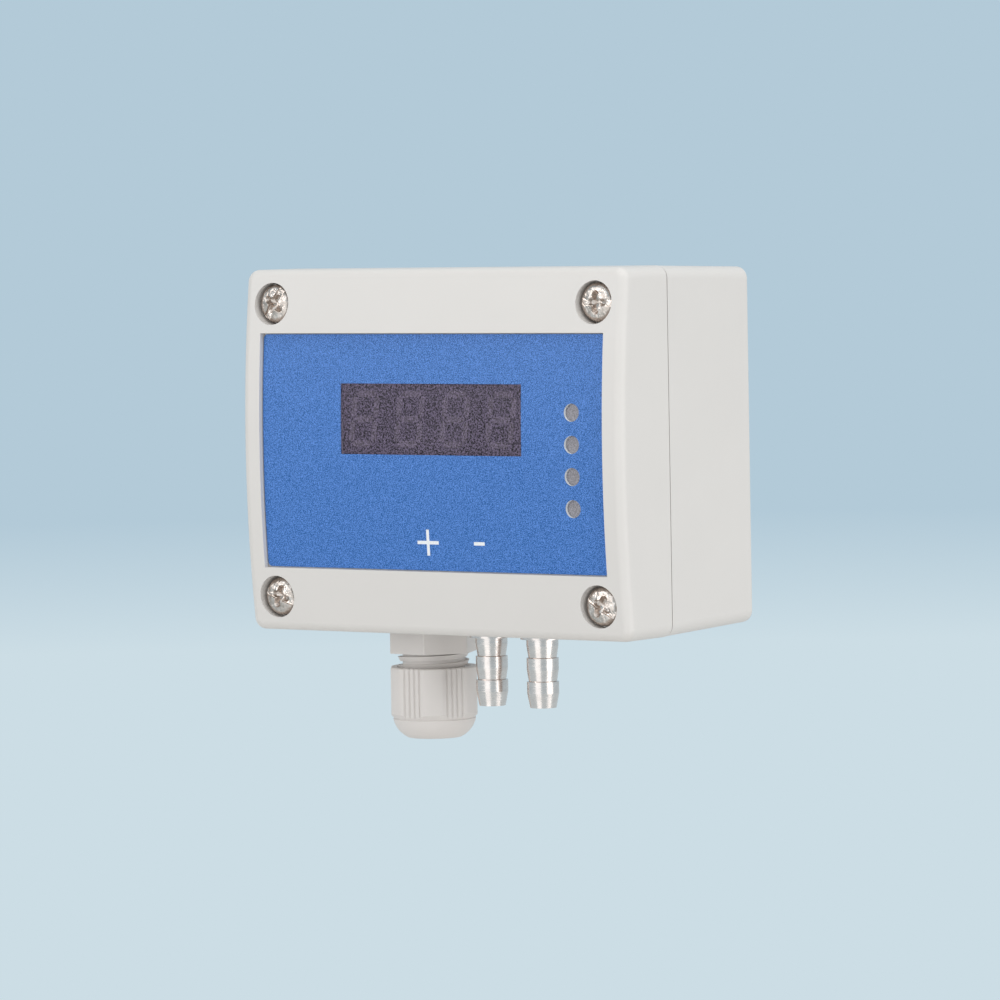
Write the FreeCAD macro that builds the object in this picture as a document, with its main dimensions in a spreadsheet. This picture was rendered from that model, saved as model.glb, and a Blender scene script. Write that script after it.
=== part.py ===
import FreeCAD, Part
import math
import os
import re

import Sketcher
from FreeCAD import Placement, Rotation, Vector

# Wall-mounted differential pressure controller with a four-digit display.
# Millimetres and degrees. +Z is up and the front faces -Y. The back face lies in Y = 0, and the origin is
# at its centre. A depth is a distance from the back face towards the front, so a depth of 10 is Y = -10.

SIZES = {
    # Enclosure: a drafted base and a crowned cover that meet at the seam
    "case_width": 84.0,
    "case_height": 66.0,
    "base_depth": 28.1,
    "seam_inset": 0.05,
    "seam_groove_width": 0.3,
    "seam_groove_depth": 0.7,
    "back_inset": 0.75,
    "cover_depth": 12.95,
    "crown": 2.2,
    "corner_radius": 2.2,
    "front_edge_radius": 1.7,
    "back_edge_radius": 1.0,
    "side_wall": 3.4,
    "back_wall": 2.5,
    "front_wall": 2.5,
    "column_width": 12.5,
    "waist_height": 24.0,
    "column_radius": 1.5,
    # Gasket in a groove of the cover, round the stepped cavity
    "gasket_inset": 0.8,
    "gasket_width": 1.5,
    "gasket_thickness": 1.9,
    "groove_clearance": 0.1,
    # Cover screws in brass inserts
    "cover_screw_inset_x": 6.4,
    "cover_screw_inset_z": 6.2,
    "cover_screw_diameter": 3.9,
    "cover_screw_length": 17.0,
    "cover_head_diameter": 7.0,
    "cover_head_height": 2.6,
    "cover_head_radius": 1.3,
    "cover_head_clearance": 0.35,
    "cover_grip": 10.7,
    "screw_clearance": 0.25,
    "thread_clearance": 0.05,
    "insert_diameter": 5.2,
    "insert_length": 8.0,
    "insert_relief": 2.0,
    # Wall fixing through the corner columns
    "wall_hole_inset_x": 6.0,
    "wall_hole_inset_z": 14.0,
    "wall_hole_diameter": 4.0,
    "wall_head_diameter": 6.4,
    "wall_web": 5.0,
    # Film label in a recess of the crowned front
    "label_margin_x": 4.3,
    "label_margin_z": 11.75,
    "label_recess": 1.3,
    "label_thickness": 0.25,
    "label_bond": 0.15,
    "label_clearance": 0.2,
    "label_radius": 0.8,
    # Four-digit display behind the window
    "display_width": 40.2,
    "display_height": 12.8,
    "display_thickness": 6.0,
    "display_z": 5.95,
    "display_gap": 0.4,
    "window_clearance": 0.2,
    # Column of indicator LEDs
    "led_inset": 11.2,
    "led_z": -1.1,
    "led_pitch": 5.67,
    "led_diameter": 3.15,
    "led_height": 5.95,
    "led_dome_radius": 0.3,
    "led_flange_diameter": 3.9,
    "led_flange_thickness": 1.0,
    "led_clearance": 0.1,
    # Circuit boards and their screws
    "board_thickness": 1.6,
    "board_margin": 0.6,
    "board_screw_diameter": 2.4,
    "board_screw_length": 4.6,
    "board_head_diameter": 4.4,
    "board_head_height": 1.7,
    "board_hole_clearance": 0.2,
    "boss_diameter": 6.0,
    "boss_hole_spare": 0.4,
    "display_post_inset_x": 5.0,
    "display_post_inset_z": 9.1,
    "main_boss_height": 5.0,
    "main_boss_inset_x": 4.3,
    "main_boss_inset_low": 15.5,
    "main_boss_inset_high": 3.9,
    "main_board_gap_low": 6.1,
    "main_board_gap_high": 1.2,
    # Ribbon cable between the boards
    "ribbon_x": -11.0,
    "ribbon_width": 8.9,
    "ribbon_thickness": 0.9,
    "ribbon_bend_radius": 6.0,
    "ribbon_straight": 7.0,
    "socket_width": 12.0,
    "socket_height": 6.0,
    "socket_thickness": 6.5,
    "socket_lip": 1.0,
    "display_socket_low": -19.0,
    "main_socket_low": 14.0,
    # Terminal block above the cable gland
    "terminal_inset_x": 2.0,
    "terminal_inset_z": 1.0,
    "terminal_height": 9.0,
    "terminal_thickness": 10.0,
    "terminal_pitch": 5.0,
    "terminal_chamfer": 2.0,
    "wire_entry": 3.4,
    "wire_entry_floor": 1.5,
    "wire_entry_reach": 6.5,
    "terminal_well_diameter": 3.6,
    "terminal_well_reach": 4.5,
    "terminal_screw_clearance": 0.1,
    "terminal_screw_length": 2.5,
    # Pressure sensor and the hoses to the nozzles
    "sensor_width": 14.0,
    "sensor_height": 12.0,
    "sensor_thickness": 10.0,
    "sensor_low": 3.0,
    "port_spacing": 8.0,
    "port_depth": 16.8,
    "port_diameter": 3.4,
    "port_bore": 1.6,
    "port_length": 7.0,
    "tube_clearance": 0.05,
    "tube_wall": 1.0,
    "tube_bend_radius": 12.0,
    "tube_straight": 2.5,
    "tube_end_gap": 0.3,
    # Turned hose nozzles through the bottom wall
    "nozzle_plus_x": -1.2,
    "nozzle_minus_x": 10.1,
    "nozzle_seam_gap": 1.4,
    "nozzle_seat_inset": 0.6,
    "nozzle_bore": 2.0,
    "nozzle_thread_diameter": 5.0,
    "nozzle_thread_length": 6.2,
    "nozzle_hole_clearance": 0.15,
    "spigot_length": 5.0,
    "collar_diameter": 8.0,
    "collar_thickness": 1.4,
    "collar_clearance": 0.4,
    "nozzle_washer_thickness": 0.8,
    "barb_diameter": 5.85,
    "barb_root_diameter": 5.15,
    "barb_tip_diameter": 4.8,
    "barb_land": 2.1,
    "barb_pitch": 4.3,
    "barb_tip_taper": 2.65,
    "nozzle_reach": 14.7,
    "nozzle_nut_flats": 8.0,
    "nozzle_nut_thickness": 2.5,
    # Cable gland through the bottom wall
    "gland_inset": 22.8,
    "gland_seam_gap": 3.9,
    "gland_seat_inset": 0.9,
    "gland_hole_clearance": 0.2,
    "gland_thread_diameter": 11.8,
    "gland_thread_length": 7.6,
    "gland_bore": 8.4,
    "gland_washer_diameter": 16.4,
    "gland_washer_thickness": 1.0,
    "gland_washer_clearance": 0.5,
    "gland_hex_flats": 14.6,
    "gland_hex_height": 5.3,
    "gland_hex_turn": 23.7,
    "gland_hex_edge": 0.35,
    "gland_neck_diameter": 11.5,
    "gland_neck_length": 9.35,
    "claw_diameter": 9.6,
    "claw_length": 2.4,
    "claw_slot": 0.8,
    "locknut_flats": 16.0,
    "locknut_thickness": 4.0,
    "seal_bore": 6.5,
    "seal_length": 8.0,
    "seal_clearance": 0.05,
    "gland_nut_diameter": 16.2,
    "gland_nut_flats": 15.75,
    "gland_nut_turn": 4.7,
    "gland_groove_width": 0.5,
    "gland_groove_turn": 7.6,
    "gland_nut_gap": 2.6,
    "gland_nut_length": 13.15,
    "gland_nut_clearance": 0.78,
    "gland_dome_height": 3.6,
    "gland_dome_bulge": 5.6,
    "gland_dome_lip": 1.05,
    "gland_dome_sunk": 0.065,
    "gland_dome_land": 4.4,
    "gland_opening": 8.0,
    "gland_opening_length": 1.5,
    "gland_cone_length": 4.5,
    # Small parts on the main board
    "chip_size": 7.0,
    "chip_thickness": 1.6,
    "chip_chamfer": 0.3,
    "chip_inset": 10.0,
    "chip_z": 8.0,
    "capacitor_diameter": 6.3,
    "capacitor_height": 9.0,
    "capacitor_chamfer": 0.5,
    "left_capacitor_inset": 4.6,
    "left_capacitor_z": 2.0,
    "right_capacitor_inset": 8.0,
    "right_capacitor_z": -16.0,
    "switch_x": 5.0,
    "switch_inset": 5.9,
    "switch_size": 6.0,
    "switch_thickness": 3.5,
    "plunger_diameter": 3.3,
    "plunger_clearance": 0.1,
    "plunger_height": 1.5,
    "plunger_sunk": 2.0,
    "plunger_room": 0.5,
}

TERMINAL_COUNT = 4
LED_COUNT = 4
BARB_COUNT = 3
CLAW_SLOTS = 3
HEX_SIDES = 6
GROOVES_PER_SIDE = 4
TINY = 1e-6

# Levels that several pieces share, as expressions of the sizes
FRONT_RIM = "base_depth + cover_depth"
COVER_INNER = f"({FRONT_RIM} - front_wall)"
CROWN_RADIUS = "((case_height / 2)^2 + crown^2) / (2 * crown)"
CROWN_TOP = f"({FRONT_RIM} + crown)"
HEAD_SEAT = "(base_depth + cover_grip)"
INNER_FLOOR = "(case_height / 2 - side_wall)"
NARROW_HALF = "(case_width / 2 - column_width)"
DISPLAY_FRONT = f"({CROWN_TOP} - label_recess - display_gap)"
DISPLAY_BOARD_FRONT = f"({DISPLAY_FRONT} - display_thickness)"
DISPLAY_BOARD_BACK = f"({DISPLAY_BOARD_FRONT} - board_thickness)"
MAIN_BOARD_BACK = "(back_wall + main_boss_height)"
MAIN_BOARD_FRONT = f"({MAIN_BOARD_BACK} + board_thickness)"
LABEL_WIDTH = "(case_width - 2 * label_margin_x)"
LABEL_HEIGHT = "(case_height - 2 * label_margin_z)"
MAIN_BOARD_LOW = f"(main_board_gap_low - {INNER_FLOOR})"
MAIN_BOARD_HIGH = f"({INNER_FLOOR} - main_board_gap_high)"
TERMINAL_X = f"(terminal_inset_x + {TERMINAL_COUNT} * terminal_pitch / 2 - {NARROW_HALF})"
TERMINAL_LOW = f"({MAIN_BOARD_LOW} + terminal_inset_z)"
NOZZLE_DEPTH = "(base_depth - nozzle_seam_gap - collar_diameter / 2)"
NOZZLE_SEAT = "(case_height / 2 - nozzle_seat_inset)"
GLAND_X = "(gland_inset - case_width / 2)"
GLAND_DEPTH = "(base_depth - gland_seam_gap - gland_washer_diameter / 2)"
GLAND_SEAT = "(case_height / 2 - gland_seat_inset)"
SENSOR_X = "((nozzle_plus_x + nozzle_minus_x) / 2)"
BOARD_SCREW_HOLE = "board_screw_diameter / 2 + board_hole_clearance"
BOARD_PILOT = "board_screw_diameter / 2 + thread_clearance"
BOARD_PILOT_REACH = "board_screw_length - board_thickness + boss_hole_spare"

WORD = re.compile(r"[a-z][a-z0-9_]*")

doc = FreeCAD.newDocument("pressure_controller")
sheet = doc.addObject("Spreadsheet::Sheet", "Sizes")
for row, (alias, number) in enumerate(SIZES.items(), start=1):
    sheet.set(f"A{row}", alias)
    sheet.set(f"B{row}", str(number))
    sheet.setAlias(f"B{row}", alias)
doc.recompute()

subparts = []


def bound(text):
    """The expression with each size written as a cell of the sheet."""
    return WORD.sub(lambda match: f"Sizes.{match[0]}" if match[0] in SIZES else match[0], text)


def size(text):
    """The present value of an expression of sizes."""
    value = sheet.evalExpression(text)
    return float(getattr(value, "Value", value))


class Profile:
    """A sketch on one of a body's origin planes, whose points are held by expressions."""

    def __init__(self, body, plane, offset="0"):
        self.sketch = body.newObject("Sketcher::SketchObject", f"{body.Label}_profile")
        support = next(item for item in body.Origin.OriginFeatures if item.Role == plane)
        self.sketch.AttachmentSupport = (support, [""])
        self.sketch.MapMode = "FlatFace"
        self.sketch.setExpression("AttachmentOffset.Base.z", bound(offset))

    def hold(self, held):
        """Add constraints, each with the expression that drives it, if any."""
        indices = self.sketch.addConstraint([constraint for constraint, text in held])
        for index, (constraint, text) in zip(indices, held):
            if text is not None:
                self.sketch.setExpression(f"Constraints[{index}]", bound(text))

    def placed(self, geometry, point, across, up):
        return [
            (Sketcher.Constraint("DistanceX", -1, 1, geometry, point, size(across)), across),
            (Sketcher.Constraint("DistanceY", -1, 1, geometry, point, size(up)), up),
        ]

    def outline(self, points, arcs=None):
        """A closed outline. arcs maps a point's index to the radius and rough middle of the arc after it."""
        arcs = arcs or {}
        spots = [Vector(size(across), size(up), 0) for across, up in points]
        ends = []
        held = []
        for index, spot in enumerate(spots):
            following = spots[(index + 1) % len(spots)]
            if index in arcs:
                radius, middle = arcs[index]
                through = Vector(size(middle[0]), size(middle[1]), 0)
                turn = (through - spot).cross(following - spot).z
                first, last = (spot, following) if turn > 0 else (following, spot)
                geometry = self.sketch.addGeometry(Part.Arc(first, through, last))
                ends.append((geometry, 1, 2) if turn > 0 else (geometry, 2, 1))
                held.append((Sketcher.Constraint("Radius", geometry, size(radius)), radius))
            else:
                geometry = self.sketch.addGeometry(Part.LineSegment(spot, following))
                ends.append((geometry, 1, 2))
        for index, (geometry, start, end) in enumerate(ends):
            next_geometry, next_start, _ = ends[(index + 1) % len(ends)]
            held.append((Sketcher.Constraint("Coincident", geometry, end, next_geometry, next_start), None))
            held += self.placed(geometry, start, *points[index])
        self.hold(held)

    def rectangle(self, left, right, low, high):
        self.outline([(left, low), (right, low), (right, high), (left, high)])

    def centred_rectangle(self, across, up, width, height):
        self.rectangle(
            f"{across} - ({width}) / 2",
            f"{across} + ({width}) / 2",
            f"{up} - ({height}) / 2",
            f"{up} + ({height}) / 2",
        )

    def rounded_rectangle(self, half_width, half_height, radius):
        """A rectangle about the origin with rounded corners."""
        inner_width = f"(({half_width}) - ({radius}))"
        inner_height = f"(({half_height}) - ({radius}))"
        points = []
        arcs = {}
        for side, rise in ((1, 1), (-1, 1), (-1, -1), (1, -1)):
            beside = (f"{side} * ({half_width})", f"{rise} * {inner_height}")
            above = (f"{side} * {inner_width}", f"{rise} * ({half_height})")
            middle = (
                f"{side} * ({inner_width} + ({radius}) * cos(45))",
                f"{rise} * ({inner_height} + ({radius}) * cos(45))",
            )
            arcs[len(points)] = (radius, middle)
            points += [beside, above] if side * rise > 0 else [above, beside]
        self.outline(points, arcs)

    def circle(self, across, up, radius):
        centre = Vector(size(across), size(up), 0)
        geometry = self.sketch.addGeometry(Part.Circle(centre, Vector(0, 0, 1), size(radius)))
        held = self.placed(geometry, 3, across, up)
        held.append((Sketcher.Constraint("Radius", geometry, size(radius)), radius))
        self.hold(held)

    def circles(self, centres, radius):
        for across, up in centres:
            self.circle(across, up, radius)

    def hexagon(self, across, up, flats, turn="0"):
        step = 360 / HEX_SIDES
        corner = f"({flats}) / 2 / cos({step / 2})"
        angles = [f"({turn}) + {step * (side + 0.5)}" for side in range(HEX_SIDES)]
        self.outline([(f"{across} + {corner} * cos({a})", f"{up} + {corner} * sin({a})") for a in angles])

    def stepped_cavity(self, grow):
        """The cavity's outline, with its four corners taken by columns, moved out by grow."""
        wide = f"case_width / 2 - side_wall + {grow}"
        tall = f"{INNER_FLOOR} + {grow}"
        narrow = f"{NARROW_HALF} + {grow}"
        low = f"waist_height / 2 + {grow}"
        right_upper = [(wide, low), (narrow, low), (narrow, tall)]
        quarter_signs = [(1, 1), (-1, 1), (-1, -1), (1, -1)]
        points = []
        for side, rise in quarter_signs:
            quarter = [(f"{side} * ({x})", f"{rise} * ({z})") for x, z in right_upper]
            points += quarter if side * rise > 0 else quarter[::-1]
        self.outline(points)


def new_body(label):
    body = doc.addObject("PartDesign::Body", label)
    body.Label = label
    subparts.append(body)
    return body


def place(body, x, depth, z):
    """Move a body that is made round its own origin to its place in the object."""
    body.setExpression("Placement.Base.x", bound(x))
    body.setExpression("Placement.Base.y", bound(f"-({depth})"))
    body.setExpression("Placement.Base.z", bound(z))


def span(block, prefix, half):
    """Set one width of a wedge, the same both ways from the middle."""
    block.setExpression(f"{prefix}min", bound(f"-({half})"))
    block.setExpression(f"{prefix}max", bound(half))


def extrude(kind, body, profile, length, reverse=False, both_ways=False):
    before = body.Shape.Volume if body.Tip else 0.0
    feature = body.newObject(kind, f"{body.Label}_feature")
    feature.Profile = profile.sketch
    feature.setExpression("Length", bound(length))
    feature.Reversed = reverse
    if both_ways:
        feature.SideType = "Symmetric"
    doc.recompute()
    gain = body.Shape.Volume - before
    if (gain > 0) != (kind == "PartDesign::Pad") or abs(gain) < TINY:
        raise RuntimeError(f"{body.Label}: {feature.Name} changed the volume by {gain}")
    return feature


def pad(body, profile, length, **options):
    return extrude("PartDesign::Pad", body, profile, length, **options)


def pocket(body, profile, length, **options):
    return extrude("PartDesign::Pocket", body, profile, length, **options)


def revolve(body, profile):
    feature = body.newObject("PartDesign::Revolution", f"{body.Label}_turned")
    feature.Profile = profile.sketch
    feature.ReferenceAxis = (profile.sketch, ["V_Axis"])
    feature.Angle = 360
    doc.recompute()
    return feature


def repeat_round(body, feature, profile, count):
    pattern = body.newObject("PartDesign::PolarPattern", f"{body.Label}_pattern")
    pattern.Originals = [feature]
    pattern.Axis = (profile.sketch, ["N_Axis"])
    pattern.Angle = 360
    pattern.Occurrences = count
    body.Tip = pattern
    doc.recompute()
    return pattern


def edge_names(shape, wanted):
    return [f"Edge{index}" for index, edge in enumerate(shape.Edges, start=1) if wanted(edge)]


def soften(kind, value, body, text, wanted):
    base = body.Tip
    feature = body.newObject(kind, f"{body.Label}_edge")
    feature.Base = (base, edge_names(base.Shape, wanted))
    feature.setExpression(value, bound(text))
    doc.recompute()
    return feature


def fillet(body, radius, wanted):
    return soften("PartDesign::Fillet", "Radius", body, radius, wanted)


def chamfer(body, width, wanted):
    return soften("PartDesign::Chamfer", "Size", body, width, wanted)


def runs_back(edge):
    """True for a straight edge along the object's depth."""
    box = edge.BoundBox
    return box.YLength > TINY and box.XLength < TINY and box.ZLength < TINY


def is_upright(edge, text):
    """Straight up and as long as the expression says."""
    box = edge.BoundBox
    return max(box.XLength, box.YLength, abs(box.ZLength - size(text))) < 10 * TINY


def at_depth(edge, text):
    box = edge.BoundBox
    return abs(box.YMin + size(text)) < TINY and abs(box.YMax + size(text)) < TINY


def four_corners(x, z):
    return [(f"{side} * ({x})", f"{rise} * ({z})") for side in (-1, 1) for rise in (-1, 1)]


def in_a_row(middle, pitch, count):
    return [f"{middle} + {index - (count - 1) / 2} * {pitch}" for index in range(count)]


COVER_SCREWS = four_corners("case_width / 2 - cover_screw_inset_x", "case_height / 2 - cover_screw_inset_z")
WALL_HOLES = four_corners("case_width / 2 - wall_hole_inset_x", "case_height / 2 - wall_hole_inset_z")
DISPLAY_POSTS = four_corners(f"{NARROW_HALF} - display_post_inset_x", f"{INNER_FLOOR} - display_post_inset_z")
MAIN_BOSS_LEVELS = [f"{MAIN_BOARD_LOW} + main_boss_inset_low", f"{MAIN_BOARD_HIGH} - main_boss_inset_high"]
MAIN_BOSS_X = f"({NARROW_HALF} - main_boss_inset_x)"
MAIN_BOSSES = [(f"{side} * {MAIN_BOSS_X}", level) for side in (-1, 1) for level in MAIN_BOSS_LEVELS]
LEDS = [("case_width / 2 - led_inset", level) for level in in_a_row("led_z", "led_pitch", LED_COUNT)]
TERMINALS = in_a_row(TERMINAL_X, "terminal_pitch", TERMINAL_COUNT)
NOZZLE_SPOTS = [(x, f"-{NOZZLE_DEPTH}") for x in ("nozzle_plus_x", "nozzle_minus_x")]


def make_rear_housing():
    body = new_body("rear_housing")
    block = body.newObject("PartDesign::AdditiveWedge", "rear_housing_block")
    for prefix, inset in (("X", "seam_inset"), ("X2", "back_inset")):
        span(block, prefix, f"case_width / 2 - {inset}")
    for prefix, inset in (("Z", "seam_inset"), ("Z2", "back_inset")):
        span(block, prefix, f"case_height / 2 - {inset}")
    block.setExpression("Ymin", bound("-base_depth"))
    block.Ymax = 0
    doc.recompute()
    fillet(body, "corner_radius", lambda edge: edge.BoundBox.YLength > size("base_depth") / 2)
    fillet(body, "back_edge_radius", lambda edge: at_depth(edge, "0"))

    cavity = Profile(body, "XZ_Plane", "base_depth")
    cavity.stepped_cavity("0")
    pocket(body, cavity, "base_depth - back_wall")
    fillet(body, "column_radius", runs_back)

    bosses = Profile(body, "XZ_Plane", "back_wall")
    bosses.circles(MAIN_BOSSES, "boss_diameter / 2")
    pad(body, bosses, "main_boss_height")
    pilots = Profile(body, "XZ_Plane", MAIN_BOARD_BACK)
    pilots.circles(MAIN_BOSSES, BOARD_PILOT)
    pocket(body, pilots, BOARD_PILOT_REACH)

    inserts = Profile(body, "XZ_Plane", "base_depth")
    inserts.circles(COVER_SCREWS, "insert_diameter / 2")
    pocket(body, inserts, "insert_length")
    reliefs = Profile(body, "XZ_Plane", "base_depth")
    reliefs.circles(COVER_SCREWS, "cover_screw_diameter / 2 + screw_clearance")
    pocket(body, reliefs, "insert_length + insert_relief")

    heads = Profile(body, "XZ_Plane", "base_depth")
    heads.circles(WALL_HOLES, "wall_head_diameter / 2")
    pocket(body, heads, "base_depth - wall_web")
    holes = Profile(body, "XZ_Plane", "base_depth")
    holes.circles(WALL_HOLES, "wall_hole_diameter / 2")
    pocket(body, holes, "base_depth + wall_web")

    gland_flat = Profile(body, "XY_Plane", f"-{GLAND_SEAT}")
    gland_flat.circle(GLAND_X, f"-{GLAND_DEPTH}", "gland_washer_diameter / 2 + gland_washer_clearance")
    pocket(body, gland_flat, "case_height")
    nozzle_flats = Profile(body, "XY_Plane", f"-{NOZZLE_SEAT}")
    nozzle_flats.circles(NOZZLE_SPOTS, "collar_diameter / 2 + collar_clearance")
    pocket(body, nozzle_flats, "case_height")
    gland_hole = Profile(body, "XY_Plane", f"-{INNER_FLOOR}")
    gland_hole.circle(GLAND_X, f"-{GLAND_DEPTH}", "gland_thread_diameter / 2 + gland_hole_clearance")
    pocket(body, gland_hole, "case_height")
    nozzle_holes = Profile(body, "XY_Plane", f"-{INNER_FLOOR}")
    nozzle_holes.circles(NOZZLE_SPOTS, "nozzle_thread_diameter / 2 + nozzle_hole_clearance")
    pocket(body, nozzle_holes, "case_height")

    groove = Profile(body, "XZ_Plane", "base_depth")
    groove.centred_rectangle("0", "0", "case_width", "case_height")
    groove.rounded_rectangle(
        "case_width / 2 - seam_inset - seam_groove_depth",
        "case_height / 2 - seam_inset - seam_groove_depth",
        "corner_radius - seam_groove_depth",
    )
    pocket(body, groove, "seam_groove_width")


def crown_strip(profile, half_height, inner, outer):
    """A strip that follows the crown: inner and outer are its faces' distances behind the crowned front."""
    inner_radius = f"({CROWN_RADIUS} - ({inner}))"
    outer_radius = f"({CROWN_RADIUS} - ({outer}))"
    centre = f"({CROWN_RADIUS} - {CROWN_TOP})"
    inner_y = f"{centre} - sqrt({inner_radius}^2 - ({half_height})^2)"
    outer_y = f"{centre} - sqrt({outer_radius}^2 - ({half_height})^2)"
    low = f"-({half_height})"
    points = [(inner_y, low), (inner_y, half_height), (outer_y, half_height), (outer_y, low)]
    arcs = {
        0: (inner_radius, (f"{centre} - {inner_radius}", "0")),
        2: (outer_radius, (f"{centre} - {outer_radius}", "0")),
    }
    profile.outline(points, arcs)


def make_front_cover():
    body = new_body("front_cover")
    side = Profile(body, "YZ_Plane")
    seam = "-base_depth"
    rim = f"-({FRONT_RIM})"
    half = "case_height / 2"
    side.outline(
        [(seam, half), (rim, half), (rim, f"-{half}"), (seam, f"-{half}")],
        {1: (CROWN_RADIUS, (f"-{CROWN_TOP}", "0"))},
    )
    pad(body, side, "case_width", both_ways=True)
    fillet(body, "corner_radius", runs_back)
    fillet(body, "front_edge_radius", lambda edge: edge.BoundBox.YMax < TINY - size(FRONT_RIM))

    cavity = Profile(body, "XZ_Plane", "base_depth")
    cavity.stepped_cavity("0")
    pocket(body, cavity, "cover_depth - front_wall", reverse=True)
    groove = Profile(body, "XZ_Plane", "base_depth")
    groove.stepped_cavity("gasket_inset + gasket_width + groove_clearance")
    groove.stepped_cavity("gasket_inset - groove_clearance")
    pocket(body, groove, "gasket_thickness + groove_clearance", reverse=True)

    recess = Profile(body, "YZ_Plane")
    crown_strip(recess, f"{LABEL_HEIGHT} / 2 + label_clearance", "label_recess", "-crown")
    pocket(body, recess, f"{LABEL_WIDTH} + 2 * label_clearance", both_ways=True)

    openings = Profile(body, "XZ_Plane", COVER_INNER)
    openings.centred_rectangle(
        "0", "display_z", "display_width + 2 * window_clearance", "display_height + 2 * window_clearance"
    )
    openings.circles(LEDS, "led_diameter / 2 + led_clearance")
    pocket(body, openings, "cover_depth", reverse=True)

    posts = Profile(body, "XZ_Plane", DISPLAY_BOARD_FRONT)
    posts.circles(DISPLAY_POSTS, "boss_diameter / 2")
    pad(body, posts, f"{COVER_INNER} - {DISPLAY_BOARD_FRONT}")
    pilots = Profile(body, "XZ_Plane", DISPLAY_BOARD_FRONT)
    pilots.circles(DISPLAY_POSTS, BOARD_PILOT)
    pocket(body, pilots, BOARD_PILOT_REACH, reverse=True)

    heads = Profile(body, "XZ_Plane", HEAD_SEAT)
    heads.circles(COVER_SCREWS, "cover_head_diameter / 2 + cover_head_clearance")
    pocket(body, heads, "cover_depth", reverse=True)
    holes = Profile(body, "XZ_Plane", "base_depth")
    holes.circles(COVER_SCREWS, "cover_screw_diameter / 2 + screw_clearance")
    pocket(body, holes, "cover_depth", reverse=True)


def make_cover_gasket():
    body = new_body("cover_gasket")
    ring = Profile(body, "XZ_Plane", "base_depth")
    ring.stepped_cavity("gasket_inset + gasket_width")
    ring.stepped_cavity("gasket_inset")
    pad(body, ring, "gasket_thickness")


def make_cover_screws():
    body = new_body("cover_screws")
    heads = Profile(body, "XZ_Plane", HEAD_SEAT)
    heads.circles(COVER_SCREWS, "cover_head_diameter / 2")
    pad(body, heads, "cover_head_height")
    fillet(body, "cover_head_radius", lambda edge: at_depth(edge, f"{HEAD_SEAT} + cover_head_height"))
    shanks = Profile(body, "XZ_Plane", HEAD_SEAT)
    shanks.circles(COVER_SCREWS, "cover_screw_diameter / 2")
    pad(body, shanks, "cover_screw_length", reverse=True)


def make_thread_inserts():
    body = new_body("thread_inserts")
    rings = Profile(body, "XZ_Plane", "base_depth")
    rings.circles(COVER_SCREWS, "insert_diameter / 2")
    rings.circles(COVER_SCREWS, "cover_screw_diameter / 2 + thread_clearance")
    pad(body, rings, "insert_length", reverse=True)


def make_front_label():
    body = new_body("front_label")
    strip = Profile(body, "YZ_Plane")
    back = "label_recess - label_bond"
    crown_strip(strip, f"{LABEL_HEIGHT} / 2", back, f"{back} - label_thickness")
    pad(body, strip, LABEL_WIDTH, both_ways=True)

    def corner(edge):
        box = edge.BoundBox
        return box.XLength < TINY and box.YLength < size("crown") / 2 and box.ZLength < size("label_radius")

    fillet(body, "label_radius", corner)


def make_display():
    body = new_body("display_module")
    face = Profile(body, "XZ_Plane", DISPLAY_BOARD_FRONT)
    face.centred_rectangle("0", "display_z", "display_width", "display_height")
    pad(body, face, "display_thickness")


def make_status_leds():
    body = new_body("status_leds")
    flanges = Profile(body, "XZ_Plane", DISPLAY_BOARD_FRONT)
    flanges.circles(LEDS, "led_flange_diameter / 2")
    pad(body, flanges, "led_flange_thickness")
    domes = Profile(body, "XZ_Plane", DISPLAY_BOARD_FRONT)
    domes.circles(LEDS, "led_diameter / 2")
    pad(body, domes, "led_height")
    fillet(body, "led_dome_radius", lambda edge: at_depth(edge, f"{DISPLAY_BOARD_FRONT} + led_height"))


def make_display_board():
    body = new_body("display_board")
    plate = Profile(body, "XZ_Plane", DISPLAY_BOARD_BACK)
    plate.stepped_cavity("-board_margin")
    plate.circles(DISPLAY_POSTS, BOARD_SCREW_HOLE)
    pad(body, plate, "board_thickness")


def make_main_board():
    body = new_body("main_board")
    plate = Profile(body, "XZ_Plane", MAIN_BOARD_BACK)
    half = f"({NARROW_HALF} - board_margin)"
    plate.rectangle(f"-{half}", half, MAIN_BOARD_LOW, MAIN_BOARD_HIGH)
    plate.circles(MAIN_BOSSES, BOARD_SCREW_HOLE)
    pad(body, plate, "board_thickness")


def make_board_screws(label, centres, board_face, heads_to_front):
    body = new_body(label)
    heads = Profile(body, "XZ_Plane", board_face)
    heads.circles(centres, "board_head_diameter / 2")
    pad(body, heads, "board_head_height", reverse=not heads_to_front)
    shanks = Profile(body, "XZ_Plane", board_face)
    shanks.circles(centres, "board_screw_diameter / 2")
    pad(body, shanks, "board_screw_length", reverse=heads_to_front)


def make_socket(label, low, face, to_front):
    body = new_body(label)
    block = Profile(body, "XZ_Plane", face)
    block.rectangle(
        "ribbon_x - socket_width / 2", "ribbon_x + socket_width / 2", low, f"{low} + socket_height"
    )
    pad(body, block, "socket_thickness", reverse=not to_front)


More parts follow.
